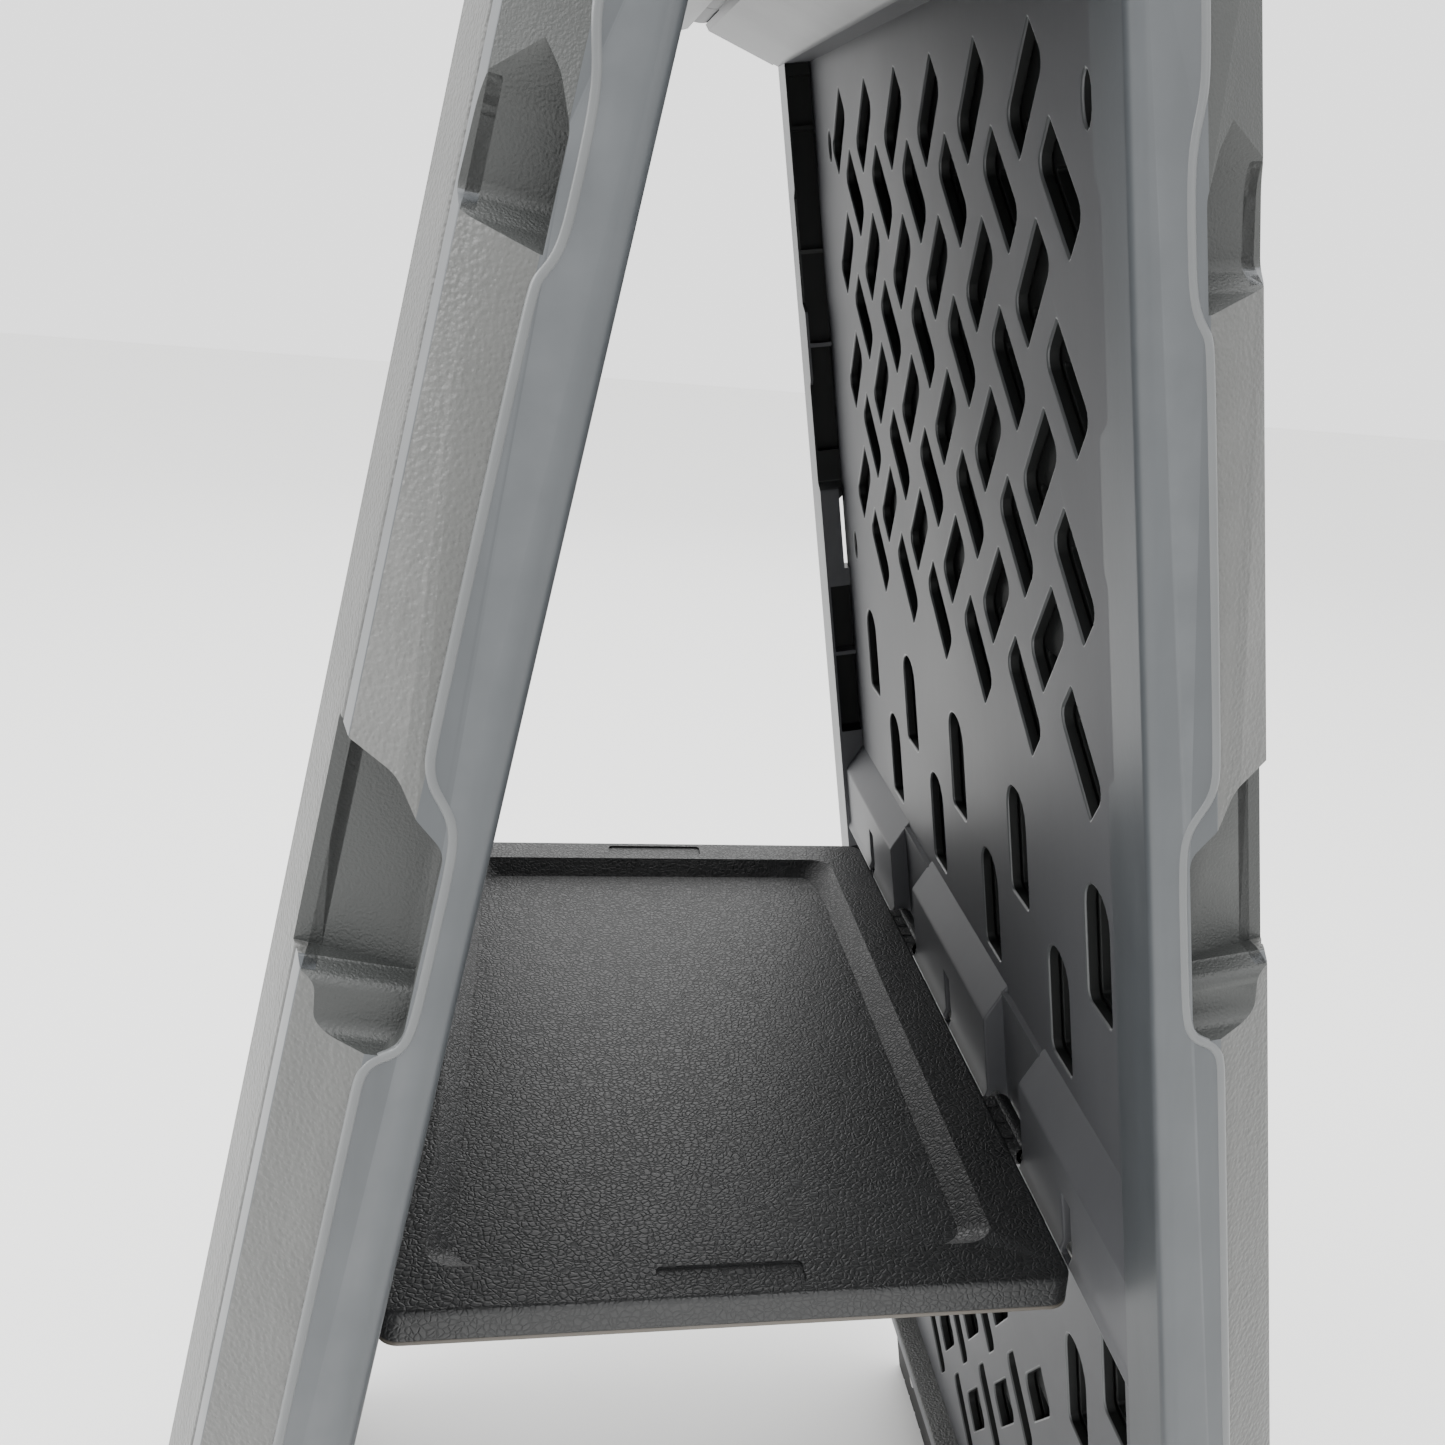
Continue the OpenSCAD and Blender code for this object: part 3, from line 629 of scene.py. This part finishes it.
def sideCutters(side):
    # what the hand holds, the slanting outer half and the rib pockets take out of a side bar
    cutters = []
    out = leg["thick"] + crown["high"] + 1
    u = hold["lowU"]
    s = hold["lowS"]
    back = W - hold["deep"]
    ceiling = rounded([(u, s - 1), (u, s + 34), (u + 7, s + 40), (u + 13, s + 48), (leg["thick"], s + 52), (out, s + 56), (out, s - 1)],
                      [0.5, 6, 8, 9, 3, 0.5, 0.5], 6)
    ends = sorted((side * (back - hold["slant"]) * mm, side * (W + 1) * mm))
    blank = prism(meters([(p.x, p.y) for p in ceiling]), -ends[1], -ends[0], alongLeg)
    wall = rounded([(u - 1, back), (u, back), (u + 3, back - 1), (out, back - hold["slant"]), (out + 1, W + 2), (u - 1, W + 2)], [0.1, 0.1, 6, 0.1, 0.1, 0.1], 4)
    blade = prism([(p.x * mm, side * p.y * mm) for p in wall][::side], (s - 3) * mm, (s + 70) * mm, upLeg)
    cutters.append(meet(blank, blade))
    drop = s - hold["lowDrop"]
    floor = rounded([(back, s + 3), (back, s - 1), (W - 8, s - 3), (W - 7, drop), (W + 1, drop - 1), (W + 1, s + 3)],
                    [0.5, 2, 4, 4, 0.2, 0.5], 6)
    step = prism([(side * p.x * mm, p.y * mm) for p in floor][::side], (u - 1) * mm, out * mm, lieFlat)
    rim = rounded([(u, s + 3), (u, drop - 1.5), (out, drop - 1.5), (out, s + 3)], [0.2, 7, 0.2, 0.2], 6)
    cutters.append(meet(step, prism(meters([(p.x, p.y) for p in rim]), -ends[1], -ends[0], alongLeg)))
    u = hold["highU"]
    s = hold["highS"]
    face = rounded([(u, s - 9), (u, s + 18), (u + 4, s + 28), (u + 10, s + 36), (out, s + 44), (out, s - 9)],
                   [0.5, 10, 12, 9, 0.5, 0.5], 6)
    blank = prism(meters([(p.x, p.y) for p in face]), -ends[1], -ends[0], alongLeg)
    shape = rounded([(W - hold["deep"], s + 2), (W - 9, s - 3), (W + 1, s - 7), (W + 1, s + 44), (W - 3, s + 36), (W - hold["deep"] + 2, s + 20)],
                    [4, 6, 0.2, 0.2, 12, 14], 6)
    blade = prism([(side * p.x * mm, p.y * mm) for p in shape][::side], 0, (out + 1) * mm, lieFlat)
    cutters.append(meet(blank, blade))
    wedge = [(leg["parting"], W), (leg["thick"] + 1, W - leg["draft"] * (leg["thick"] + 1 - leg["parting"]) / (leg["thick"] - leg["parting"])),
             (leg["thick"] + 1, W + 1), (leg["parting"], W + 1)]
    cutters.append(prism([(p[0] * mm, side * p[1] * mm) for p in wedge][::side], (floorAt - 20) * mm, (headAt + 60) * mm, upLeg))
    for low, high, deep in ((47, 89, 10), (91, 126, 6), (196, 248, 10), (250, 293, 6), (295, 351, 10), (353, 376, 6),
                            (-64, -18, 10), (-118, -66, 6), (-172, -120, 10), (-226, -174, 6), (-284, -228, 10)):
        ends = sorted((side * (inner - 8) * mm, side * (inner + deep) * mm))
        cutters.append(brick((0.0014, leg["field"] * mm + 0.001), ends, (low * mm, high * mm)))
    return cutters


def sideCorner(side):
    # rounds the corner between the inner face and the side
    r = leg["corner"]
    arc = [(0.03 + r * (1 - math.sin(k * math.pi / 14)), W - 0.03 - r * (1 - math.cos(k * math.pi / 14))) for k in range(8)]
    outline = [(-2, W - r - 0.03), (-2, W + 2), (r + 0.03, W + 2)] + arc
    return prism([(p[0] * mm, side * p[1] * mm) for p in outline][::side], (floorAt - 20) * mm, (headAt + 90) * mm, upLeg)


def meet(first, second):
    # what two shapes share
    holder = bpy.data.objects.new("meet", toMesh(first, "meet"))
    other = bpy.data.objects.new("other", toMesh(second, "other"))
    bpy.context.scene.collection.objects.link(holder)
    bpy.context.scene.collection.objects.link(other)
    shared = holder.modifiers.new("meet", "BOOLEAN")
    shared.operation = "INTERSECT"
    shared.solver = "EXACT"
    shared.object = other
    bpy.context.view_layer.update()
    mesh = bpy.data.meshes.new_from_object(holder.evaluated_get(bpy.context.evaluated_depsgraph_get()))
    bpy.data.objects.remove(holder)
    bpy.data.objects.remove(other)
    bm = bmesh.new()
    bm.from_mesh(mesh)
    bpy.data.meshes.remove(mesh)
    return bm


def flankRule(centre, normal):
    y, s = abs(centre.y) / mm, centre.z / mm
    # walls of the hand holds on the flanks take slot 5: painted shade
    if abs(normal.y) > 0.8 and any(low < s < high for low, high in ((hold["lowS"] - 16, hold["lowS"] + 56), (hold["highS"] - 10, hold["highS"] + 48))):
        return 5
    return 0 if y > W - leg["draft"] - crown["groove"] else 1


def crownBlocks():
    # the crowned outer face: slanting flanks with a groove, and a flat middle with rows of upright pockets
    top = leg["thick"] + crown["high"]
    edge = W - leg["draft"]
    flat = edge - crown["run"]
    low, high = floorAt + leg["step"], headAt - 46
    slope = crown["high"] / crown["run"]
    g = crown["groove"]
    parts = []
    for side in (1, -1):
        flank = [(leg["thick"] - 3, edge - 0.4), (leg["thick"] + 0.2, edge - 0.4), (leg["thick"] + slope * g, edge - g), (leg["thick"] + slope * g - 0.7, edge - g - 0.4),
                 (leg["thick"] + slope * g - 0.7, edge - g - 1.2), (leg["thick"] + slope * (g + 1.8), edge - g - 1.8), (top - 0.35, flat + 1.2), (top - 0.05, flat - 1), (top - 3, flat - 4), (leg["thick"] - 3, flat - 4)]
        bm = prism([(p[0] * mm, side * p[1] * mm) for p in flank][::side], low * mm, high * mm, upLeg)
        edges = [e for e in bm.edges if e.calc_face_angle(0) > 0.2]
        bmesh.ops.bevel(bm, geom=edges, offset=0.0005, affect="EDGES", segments=2, profile=0.5, material=-1, clamp_overlap=True)
        bm = carved(bm, sideCutters(side)[:3])
        parts.append(paint(bm, flankRule))
    edgeLine = meters([(-flat - 0.5, low), (flat + 0.5, low), (flat + 0.5, high), (-flat - 0.5, high)])
    face = [edgeLine]
    for rows, first in ((range(6), 20), (range(5), -288)):
        for row in rows:
            for col in range(-2, 3):
                points, radii = slotPocket(col * 78 + (row % 2) * 26 - 13, first + row * 58)
                if points[2][1] < high - 3 and points[0][1] > low + 3:
                    face.append([(p.x * mm, p.y * mm) for p in rounded(points, radii, 4)])
    skin = plate(face, (top - 4.4) * mm, top * mm, 0.9 * mm, 2)
    back = plate([edgeLine], (top - 5.6) * mm, (top - 4.2) * mm, 0)
    for bm, inside in ((skin, 1.2), (back, -1)):
        bmesh.ops.transform(bm, matrix=lieFlat, verts=bm.verts)
        bmesh.ops.recalc_face_normals(bm, faces=bm.faces)
        # the skin's top takes the stippled finish; its pocket walls and the sheet behind them take slot 3, painted
        # shade
        parts.append(paint(bm, lambda c, n, k=inside: 1 if c.x / mm > top - k else 3))
    return parts


beadPath = [(17, -298), (17, 104), (17, 110), (16.6, 114), (14.5, 117), (11, 118.5), (8.6, 122), (8, 129), (8, 150), (8, 166), (9, 173), (12, 177.5),
            (15.2, 181), (16.8, 186), (17, 192), (17, 284), (16.6, 289), (14.6, 292), (13.2, 297), (13, 305), (13, 322), (14, 331), (16.6, 339), (17, 348), (17, 381)]


def sideBead(side):
    # the raised smooth lip along the parting line, which swings round the hand holds
    curve = bpy.data.curves.new("bead", "CURVE")
    curve.dimensions = "3D"
    curve.bevel_depth = leg["bead"] * mm
    curve.bevel_resolution = 3
    spline = curve.splines.new("NURBS")
    spline.points.add(len(beadPath) - 1)
    for point, (u, s) in zip(spline.points, beadPath):
        point.co = (u * mm, side * (W - leg["bead"] * 0.62) * mm, s * mm, 1)
    spline.order_u = 4
    spline.use_endpoint_u = True
    spline.resolution_u = 8
    holder = bpy.data.objects.new("bead", curve)
    bpy.context.scene.collection.objects.link(holder)
    bpy.context.view_layer.update()
    mesh = bpy.data.meshes.new_from_object(holder.evaluated_get(bpy.context.evaluated_depsgraph_get()))
    bpy.data.objects.remove(holder)
    bm = bmesh.new()
    bm.from_mesh(mesh)
    bpy.data.meshes.remove(mesh)
    bmesh.ops.holes_fill(bm, edges=[e for e in bm.edges if len(e.link_faces) == 1], sides=0)
    bmesh.ops.recalc_face_normals(bm, faces=bm.faces)
    # the bead takes slot 4, the lip finish: a painted highlight along the bead
    return paint(bm, lambda c, n: 4)


def slitCutter(side):
    # the gap between a lower hand hold and the inner field
    ends = sorted((side * (inner - 8) * mm, side * (W - hold["deep"] + 1) * mm))
    return brick(((hold["lowU"] - 0.3) * mm, (leg["field"] + 2) * mm), ends, ((hold["lowS"] + 2) * mm, (hold["lowS"] + 44) * mm))


def sideBar(side, slit):
    # one side of the leg, from the foot to the head
    low, high = fieldLow - 1, headAt - 31
    back = W - leg["backBorder"]
    bar = prism([(side * p[0] * mm, p[1] * mm) for p in ((W - 0.03, low), (W - 0.03, high), (back, high), (back, low))][::side],
                0.03 * mm, (leg["thick"] - 0.02) * mm, lieFlat)
    line = [(inner + jog, s) for s, jog in innerEdge]
    line = [(back - 2, low - 2), (line[0][0], low - 2)] + line[1:-1] + [(line[-1][0], high + 2), (back - 2, high + 2)]
    shape = rounded(line, [0.1, 0.1] + [1.5] * (len(line) - 4) + [0.1, 0.1], 2)
    front = prism([(side * p.x * mm, p.y * mm) for p in shape][::side], -1 * mm, leg["frontDeep"] * mm, lieFlat)
    cutters = [front, sideCorner(side)] + sideCutters(side)
    if slit:
        cutters.append(slitCutter(side))
    return carved(bar, cutters, leg["edge"] * mm, 3, 32, 4)


def sideWedge(side):
    slope = leg["draft"] / (leg["thick"] - leg["parting"])
    far = leg["thick"] + 2
    wedge = [(leg["parting"], W), (far, W - slope * (far - leg["parting"])), (far, W + 2), (leg["parting"], W + 2)]
    return prism([(p[0] * mm, side * p[1] * mm) for p in wedge][::side], (floorAt - 20) * mm, (headAt + 60) * mm, upLeg)


def headBlock():
    # the solid head above the field, with its half of the knuckles
    toLocal = onRight.inverted()
    top = topZ / mm
    z = hinge.z / mm

    def at(u, s):
        p = onRight @ Vector((u * mm, 0, s * mm))
        return (p.x / mm, p.z / mm)
    outerTop = (onRight @ Vector((leg["thick"] * mm, 0, 0))).x / mm - (top - (onRight @ Vector((leg["thick"] * mm, 0, 0))).z / mm) * math.tan(lean)
    outline = [(0.6, top), (outerTop, top), at(leg["thick"], headAt - 34), at(0, headAt - 34), (5.0, z - 15), (0.6, z - 8)]
    head = prism(meters(outline), -W * mm, W * mm, alongLeg)
    bmesh.ops.transform(head, matrix=toLocal, verts=head.verts)
    knuckles = 8
    length = 2 * W / knuckles
    cutters = [sideWedge(1), sideWedge(-1), sideCorner(1), sideCorner(-1)]
    parts = []
    for i in range(knuckles):
        low, high = -W + i * length, -W + (i + 1) * length
        if i % 2:
            bm = rodAlongY(0.0126, (low - 0.3) * mm, (high + (2 if i == knuckles - 1 else 0.3)) * mm, 0, hinge.z, 48, 0)
            bmesh.ops.transform(bm, matrix=toLocal, verts=bm.verts)
            cutters.append(bm)
        else:
            bm = rodAlongY(0.012, (low + 0.3) * mm, (high - 0.3) * mm, 0, hinge.z, 48, 0.0008)
            bmesh.ops.transform(bm, matrix=toLocal, verts=bm.verts)
            parts.append(bm)
    return [carved(head, cutters, 0.0012, 3, 32, 4)] + parts


def footBlock():
    # the solid bottom with its arch, and the rib where the inner face steps back
    low = floorAt - 4
    archS = (leg["arch"] - trayTop / mm - 23 * math.sin(lean)) / math.cos(lean)
    outline = [(-W, low), (-archHalf, low), (-archHalf, archS - 8), (-archHalf + 8, archS), (archHalf - 8, archS),
               (archHalf, archS - 8), (archHalf, low), (W, low), (W, fieldLow + 2), (-W, fieldLow + 2)]
    block = prism(meters(outline), 12 * mm, leg["thick"] * mm, lieFlat)
    ground = brick((0, 0.4), (-0.3, 0.3), (-0.1, 0.0051))
    bmesh.ops.transform(ground, matrix=onRight.inverted(), verts=ground.verts)
    rib = brick((0, 14 * mm), (-W * mm, W * mm), ((fieldLow - 8) * mm, (fieldLow + 0.5) * mm), 0.0012)
    return [carved(block, [sideWedge(1), sideWedge(-1), ground], 0.0012, 3, 32, 4), rib]


ledge = dict(front=27, back=39, inset=2.1, bayY=80.5, bayLong=44, bayBack=9.7, boss=4.2, pinU=5.0, windowY=152)


def ledgeBlocks():
    pinLocal = onRight.inverted() @ trayPin
    pinS = pinLocal.z / mm
    u = ledge["pinU"]
    arc = [(u - ledge["boss"] * math.cos(t), pinS - ledge["boss"] * math.sin(t)) for t in [k * math.pi / 12 for k in range(7)]]
    full = [(leg["field"] + 2, pinS - ledge["boss"]), (leg["field"] + 2, ledge["back"] + 1), (leg["field"] - 1, ledge["back"] - 2)]
    full += [(ledge["inset"] + 1.2, ledge["front"] + 0.6), (ledge["inset"], ledge["front"] - 1), (ledge["inset"], pinS + 3)] + arc
    half = ledge["bayLong"] / 2
    parts = []
    spans = [(-inner - 2, -ledge["bayY"] - half), (-ledge["bayY"] + half, ledge["bayY"] - half), (ledge["bayY"] + half, inner + 2)]
    for (low, high), y in zip(spans, (-ledge["windowY"], 0, ledge["windowY"])):
        block = prism(meters(full), -high * mm, -low * mm, alongLeg)
        window = brick((-0.002, (u + 3) * mm), ((y - 4) * mm, (y + 4) * mm), (-8 * mm, 14 * mm))
        parts.append(carved(block, [window], 0.0009, 3, 32, 4))
    for side in (-1, 1):
        parts.append(brick((ledge["bayBack"] * mm, (leg["field"] + 2) * mm), sorted(((side * ledge["bayY"] - half - 1) * mm, (side * ledge["bayY"] + half + 1) * mm)),
                           ((pinS - ledge["boss"]) * mm, (ledge["back"] - 3) * mm)))
    return parts


def outerTop():
    return [brick((26 * mm, 33.97 * mm), ((-W + leg["backBorder"] - 1) * mm, (W - leg["backBorder"] + 1) * mm), ((headAt - 46) * mm, (headAt - 33) * mm), 0.0012),
            brick((12 * mm, 30 * mm), ((-inner - 3) * mm, (inner + 3) * mm), ((headAt - 34) * mm, (headAt - 30) * mm))]


def paint(bm, rule):
    for f in bm.faces:
        # faces in slot 4 keep the lip finish's painted highlight
        if f.material_index != 4:
            f.material_index = rule(f.calc_center_median(), f.normal)
    return bm


def barRule(centre, normal):
    u, y, s = centre.x / mm, abs(centre.y) / mm, centre.z / mm
    insideHold = y < W - 0.6 and y > W - hold["deep"] - hold["slant"] - 4 and (hold["lowS"] - 16 < s < hold["lowS"] + 52 or hold["highS"] - 10 < s < hold["highS"] + 44) and u > hold["lowU"] - 1
    # hold walls take slot 5, the darker hold-wall finish: painted shade in the hand holds
    if insideHold:
        return 5
    if u > leg["parting"] + 0.3:
        return 1
    # faces of the recess along the field's edge take slot 3, painted shade; the field's face nearer the middle takes
    # slot 2
    if y < inner + 12 and normal.x > -0.5 and u < leg["field"] + 2 and y < W - 4:
        return 3 if y > inner + 2 else 2
    return 0


def sheetRule(centre, normal):
    # the field's face, its pockets' lips in the lip finish (a painted highlight) and their walls in the dark pocket
    # finish (painted shade)
    if normal.x < -0.97:
        return 2
    return 4 if centre.x / mm < leg["field"] + leg["lip"] else 3


# slots: 0 smooth, 1 stippled, 2 field, 3 pockets with painted shade, 4 lips with a painted highlight, 5 hold walls with
# painted shade
legFinish = [finish["smooth"], finish["rough"], finish["field"], finish["pocket"], finish["lip"], finish["holdWallShade"]]


def wholeLeg(slitSide=0):
    face, step, floor = fieldSheets()
    # the stepped layer and the floor behind the pockets take slot 3, the pocket finish: painted shade in the recesses
    parts = [paint(face, sheetRule), paint(step, lambda c, n: 3), paint(floor, lambda c, n: 3)]
    parts += crownBlocks()
    for side in (1, -1):
        parts.append(paint(sideBar(side, side == slitSide), barRule))
        parts.append(sideBead(side))
    parts += [paint(b, barRule) for b in headBlock()]
    parts += [paint(b, lambda c, n: 2 if n.x < -0.5 else 1) for b in footBlock()]
    parts += [paint(b, lambda c, n: 2) for b in ledgeBlocks()]
    parts += [paint(b, lambda c, n: 1) for b in outerTop()]
    return joined(parts, "leg")


legMesh = wholeLeg()
rightMesh = wholeLeg(1)
rightMesh.transform(onRight)
legMesh.transform(onLeft)
addPiece("legRight", rightMesh, "right_leg", legFinish, ["leg_right"])
addPiece("legLeft", legMesh, "left_leg", legFinish, ["leg_left"])
print("legs made", len(rightMesh.polygons))


# ---- the tray ----

tray = dict(long=341, thick=10.5, sink=6, rimHinge=19.3, rimCatch=11.5, rimEnd=19.5, slope=8, edge=1.6, corner=7)


def traySlab():
    half = tray["long"] / 2
    x = trayHalf / mm
    top = trayTop / mm
    corners = rounded([(-x, -half), (x, -half), (x, half), (-x, half)], tray["corner"], 6)
    slab = plate([meters([(p.x, p.y) for p in corners])], (top - tray["thick"] + 0.5) * mm, top * mm, tray["edge"] * mm, 4)
    lowX, highX = -x + tray["rimCatch"], x - tray["rimHinge"]
    endY = half - tray["rimEnd"]
    mouth = rounded([(lowX, -endY), (highX, -endY), (highX, endY), (lowX, endY)], 10, 6)
    bm = bmesh.new()
    face = bm.faces.new([bm.verts.new((p.x * mm, p.y * mm, (top + 2) * mm)) for p in mouth])
    moved = bmesh.ops.extrude_face_region(bm, geom=[face])
    ring = [v for v in moved["geom"] if isinstance(v, bmesh.types.BMVert)]
    bmesh.ops.translate(bm, verts=ring, vec=(0, 0, -2 * mm))
    sunk = bmesh.ops.extrude_face_region(bm, geom=[f for f in bm.faces if all(v in ring for v in f.verts)])
    bmesh.ops.delete(bm, geom=[f for f in bm.faces if len(f.verts) > 4 and all(v in ring for v in f.verts)], context="FACES_ONLY")
    ring = [v for v in sunk["geom"] if isinstance(v, bmesh.types.BMVert)]
    centreX, width = (lowX + highX) / 2 * mm, (highX - lowX) / 2 * mm
    for v in ring:
        v.co.x = centreX + (v.co.x - centreX) * (width - tray["slope"] * mm) / width
        v.co.y = v.co.y * (endY - tray["slope"]) / endY
        v.co.z = (top - tray["sink"]) * mm
    bmesh.ops.recalc_face_normals(bm, faces=bm.faces)
    cutters = [bm]
    for side in (-1, 1):
        y = side * (half - tray["rimEnd"] / 2)
        badge = rounded([(-24, y - 5.5), (20, y - 5.5), (20, y + 5.5), (-24, y + 5.5)], 2, 4)
        cutters.append(prism(meters([(p.x, p.y) for p in badge]), (top - 0.7) * mm, (top + 1) * mm, Matrix.Identity(4)))
    return carved(slab, cutters, 0.0009, 4, 24)


def trayLugs():
    parts = []
    lugLong = 17
    for side in (-1, 1):
        y = side * ledge["bayY"]
        boss = rodAlongY(0.0041, (y - lugLong) * mm, (y + lugLong) * mm, trayPin.x, trayPin.z, 40, 0.0006)
        arm = brick((trayHalf - 0.002, trayPin.x), ((y - lugLong) * mm, (y + lugLong) * mm), (trayPin.z - 0.0034, trayPin.z + 0.0034), 0.0006)
        for k in (-1, 0, 1):
            web = brick((trayHalf - 0.0005, trayPin.x - 0.003), ((y + k * 10 - 1) * mm, (y + k * 10 + 1) * mm), (trayPin.z - 0.004, trayPin.z + 0.004), 0.0004)
            parts.append(web)
        parts += [boss, arm]
    return parts


def traySeam():
    # the parting seam low on the tray's edge, a thin paler line
    half = tray["long"] / 2
    x = trayHalf / mm
    top = trayTop / mm
    corners = rounded([(-x, -half), (x, -half), (x, half), (-x, half)], tray["corner"], 6)
    seam = plate([meters([(p.x, p.y) for p in corners])], (top - tray["thick"]) * mm, (top - tray["thick"] + 1.4) * mm, 0.4 * mm, 1)
    return paint(seam, lambda c, n: 1)


trayMesh = joined([traySlab(), traySeam()] + trayLugs(), "tray")
addPiece("trayPanel", trayMesh, "tray", [finish["tray"], finish["trayEdge"]], ["tray"])
print("tray made")


# ---- rubber feet and grips ----

foot = dict(high=44, wall=2, tread=3.2, groove=1.6, rows=7)


def rubberFoot(signX, signY):
    name = "foot_%s_%s" % ("right" if signX > 0 else "left", "back" if signY > 0 else "front")
    node = frame["nodes"][name]
    bm = bmesh.new()
    bm.from_mesh(node.data)
    bmesh.ops.remove_doubles(bm, verts=bm.verts, dist=0.000005)
    bmesh.ops.dissolve_limit(bm, angle_limit=math.radians(2), verts=bm.verts, edges=bm.edges)
    low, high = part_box(name)
    cutters = []
    step = (high.y - low.y) / foot["rows"]
    for k in range(1, foot["rows"]):
        y = low.y + k * step
        cutters.append(brick((low.x - 0.01, high.x + 0.01), (y - 0.0012, y + 0.0012), (-0.002, foot["groove"] * mm)))
    for k in range(4):
        z = 0.012 + k * 0.007
        slit = brick((0.0335 + 0.0012, 0.05), (-0.2, 0.2), (-0.0009, 0.0009))
        turn = Matrix.Translation((signX * gap, 0, trayTop)) @ Matrix.Rotation(-signX * lean, 4, "Y")
        centre = (low.y + high.y) / 2
        away = turn.inverted() @ Vector((high.x if signX > 0 else low.x, centre, z))
        bmesh.ops.translate(slit, verts=slit.verts, vec=(0, 0, 0))
        bmesh.ops.scale(slit, vec=(1, 0.085, 1), verts=slit.verts)
        if signX < 0:
            bmesh.ops.scale(slit, vec=(-1, 1, 1), verts=slit.verts)
            bmesh.ops.recalc_face_normals(slit, faces=slit.faces)
        bmesh.ops.translate(slit, verts=slit.verts, vec=(0, centre, away.z))
        bmesh.ops.transform(slit, matrix=turn, verts=slit.verts)
        cutters.append(slit)
    mesh = joined([carved(bm, cutters, 0.0006, 2)], name)
    addPiece(name.replace("_", "-"), mesh, "right_leg" if signX > 0 else "left_leg", finish["rubber"], [name])


for signX in (1, -1):
    for signY in (1, -1):
        rubberFoot(signX, signY)
print("feet made")


def gripPad(name, body):
    low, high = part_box(name)
    bm = brick((low.x, high.x), (low.y, high.y), (low.z, high.z))
    cutters = []
    count = 7
    for k in range(count):
        x = low.x + (k + 1) * (high.x - low.x) / (count + 1)
        cutters.append(brick((x - 0.0011, x + 0.0011), (low.y + 0.006, high.y - 0.006), (high.z - 0.0011, high.z + 0.001)))
    for y in (-halfW + 0.05, 0, halfW - 0.05):
        hole = bmesh.new()
        bmesh.ops.create_cone(hole, cap_ends=True, segments=28, radius1=0.004, radius2=0.004, depth=0.02)
        bmesh.ops.translate(hole, verts=hole.verts, vec=((low.x + high.x) / 2, y, low.z))
        cutters.append(hole)
    mesh = joined([carved(bm, cutters, 0.0004, 2)], name)
    addPiece(name.replace("_", "-"), mesh, body, finish["grip"], [name])


gripPad("grip_right", "right_leg")
gripPad("grip_left", "left_leg")
print("grips made")


# ---- rods, caps, screws and cradles keep their solids and get their finishes ----

def refinish(name, material):
    data = frame["nodes"][name].data
    data.materials.clear()
    data.materials.append(material)


for name in ("hinge_rod", "tray_hinge_rod", "catch_rod", "hinge_washers", "foot_screws_right", "foot_screws_left",
             "grip_screws_right", "grip_screws_left", "cradle_screws"):
    refinish(name, finish["steel"])
for name in ("rod_cap_front", "rod_cap_back", "cradle_front", "cradle_back"):
    refinish(name, finish["cap"])
print("metal finished")


# ---- camera, floor and light ----

view = dict(eye=(-0.0719, -0.5635, 0.6743), turn=(76.62, -5.463, -11.731), lens=39.32, shiftX=-0.1048, shiftY=-0.0785)


def addCamera():
    eye = bpy.data.cameras.new("camera")
    eye.lens = view["lens"]
    eye.sensor_width = 36
    eye.shift_x = view["shiftX"]
    eye.shift_y = view["shiftY"]
    eye.clip_start = 0.01
    holder = bpy.data.objects.new("camera", eye)
    bpy.context.scene.collection.objects.link(holder)
    holder.location = view["eye"]
    holder.rotation_euler = [math.radians(a) for a in view["turn"]]
    bpy.context.scene.camera = holder


addCamera()


def addFloor():
    bm = bmesh.new()
    bmesh.ops.create_grid(bm, x_segments=1, y_segments=1, size=6)
    floor = bpy.data.objects.new("floor", toMesh(bm, "floor"))
    bpy.context.scene.collection.objects.link(floor)
    pale, shader = newMaterial("paleFloor", 0.7)
    shader.inputs["Base Color"].default_value = (0.88, 0.88, 0.87, 1)
    floor.data.materials.append(pale)


def addLight(name, place, aim, size, power, color=(1, 1, 1)):
    lamp = bpy.data.lights.new(name, "AREA")
    lamp.shape = "RECTANGLE"
    lamp.size, lamp.size_y = size
    lamp.energy = power
    lamp.color = color
    holder = bpy.data.objects.new(name, lamp)
    bpy.context.scene.collection.objects.link(holder)
    way = Vector(aim) - Vector(place)
    holder.matrix_world = Matrix.Translation(place) @ way.to_track_quat("-Z", "Y").to_matrix().to_4x4()


addFloor()
world = bpy.data.worlds.new("studio")
bpy.context.scene.world = world
world.use_nodes = True
world.node_tree.nodes["Background"].inputs["Color"].default_value = (1, 1, 1, 1)
world.node_tree.nodes["Background"].inputs["Strength"].default_value = 2.0
addLight("overhead", (-0.2, -0.3, 2.4), (0, 0, 0.6), (1.8, 1.8), 60)
addLight("left", (-2.8, -0.35, 1.8), (0, 0, 0.7), (1.4, 1.6), 66)
addLight("rightFront", (1.2, -2.2, 1.5), (0.1, 0, 0.7), (1.0, 1.2), 9)
addLight("back", (0.4, 2.4, 1.6), (0, 0, 0.6), (1.8, 1.8), 12)
print("camera and lights set")
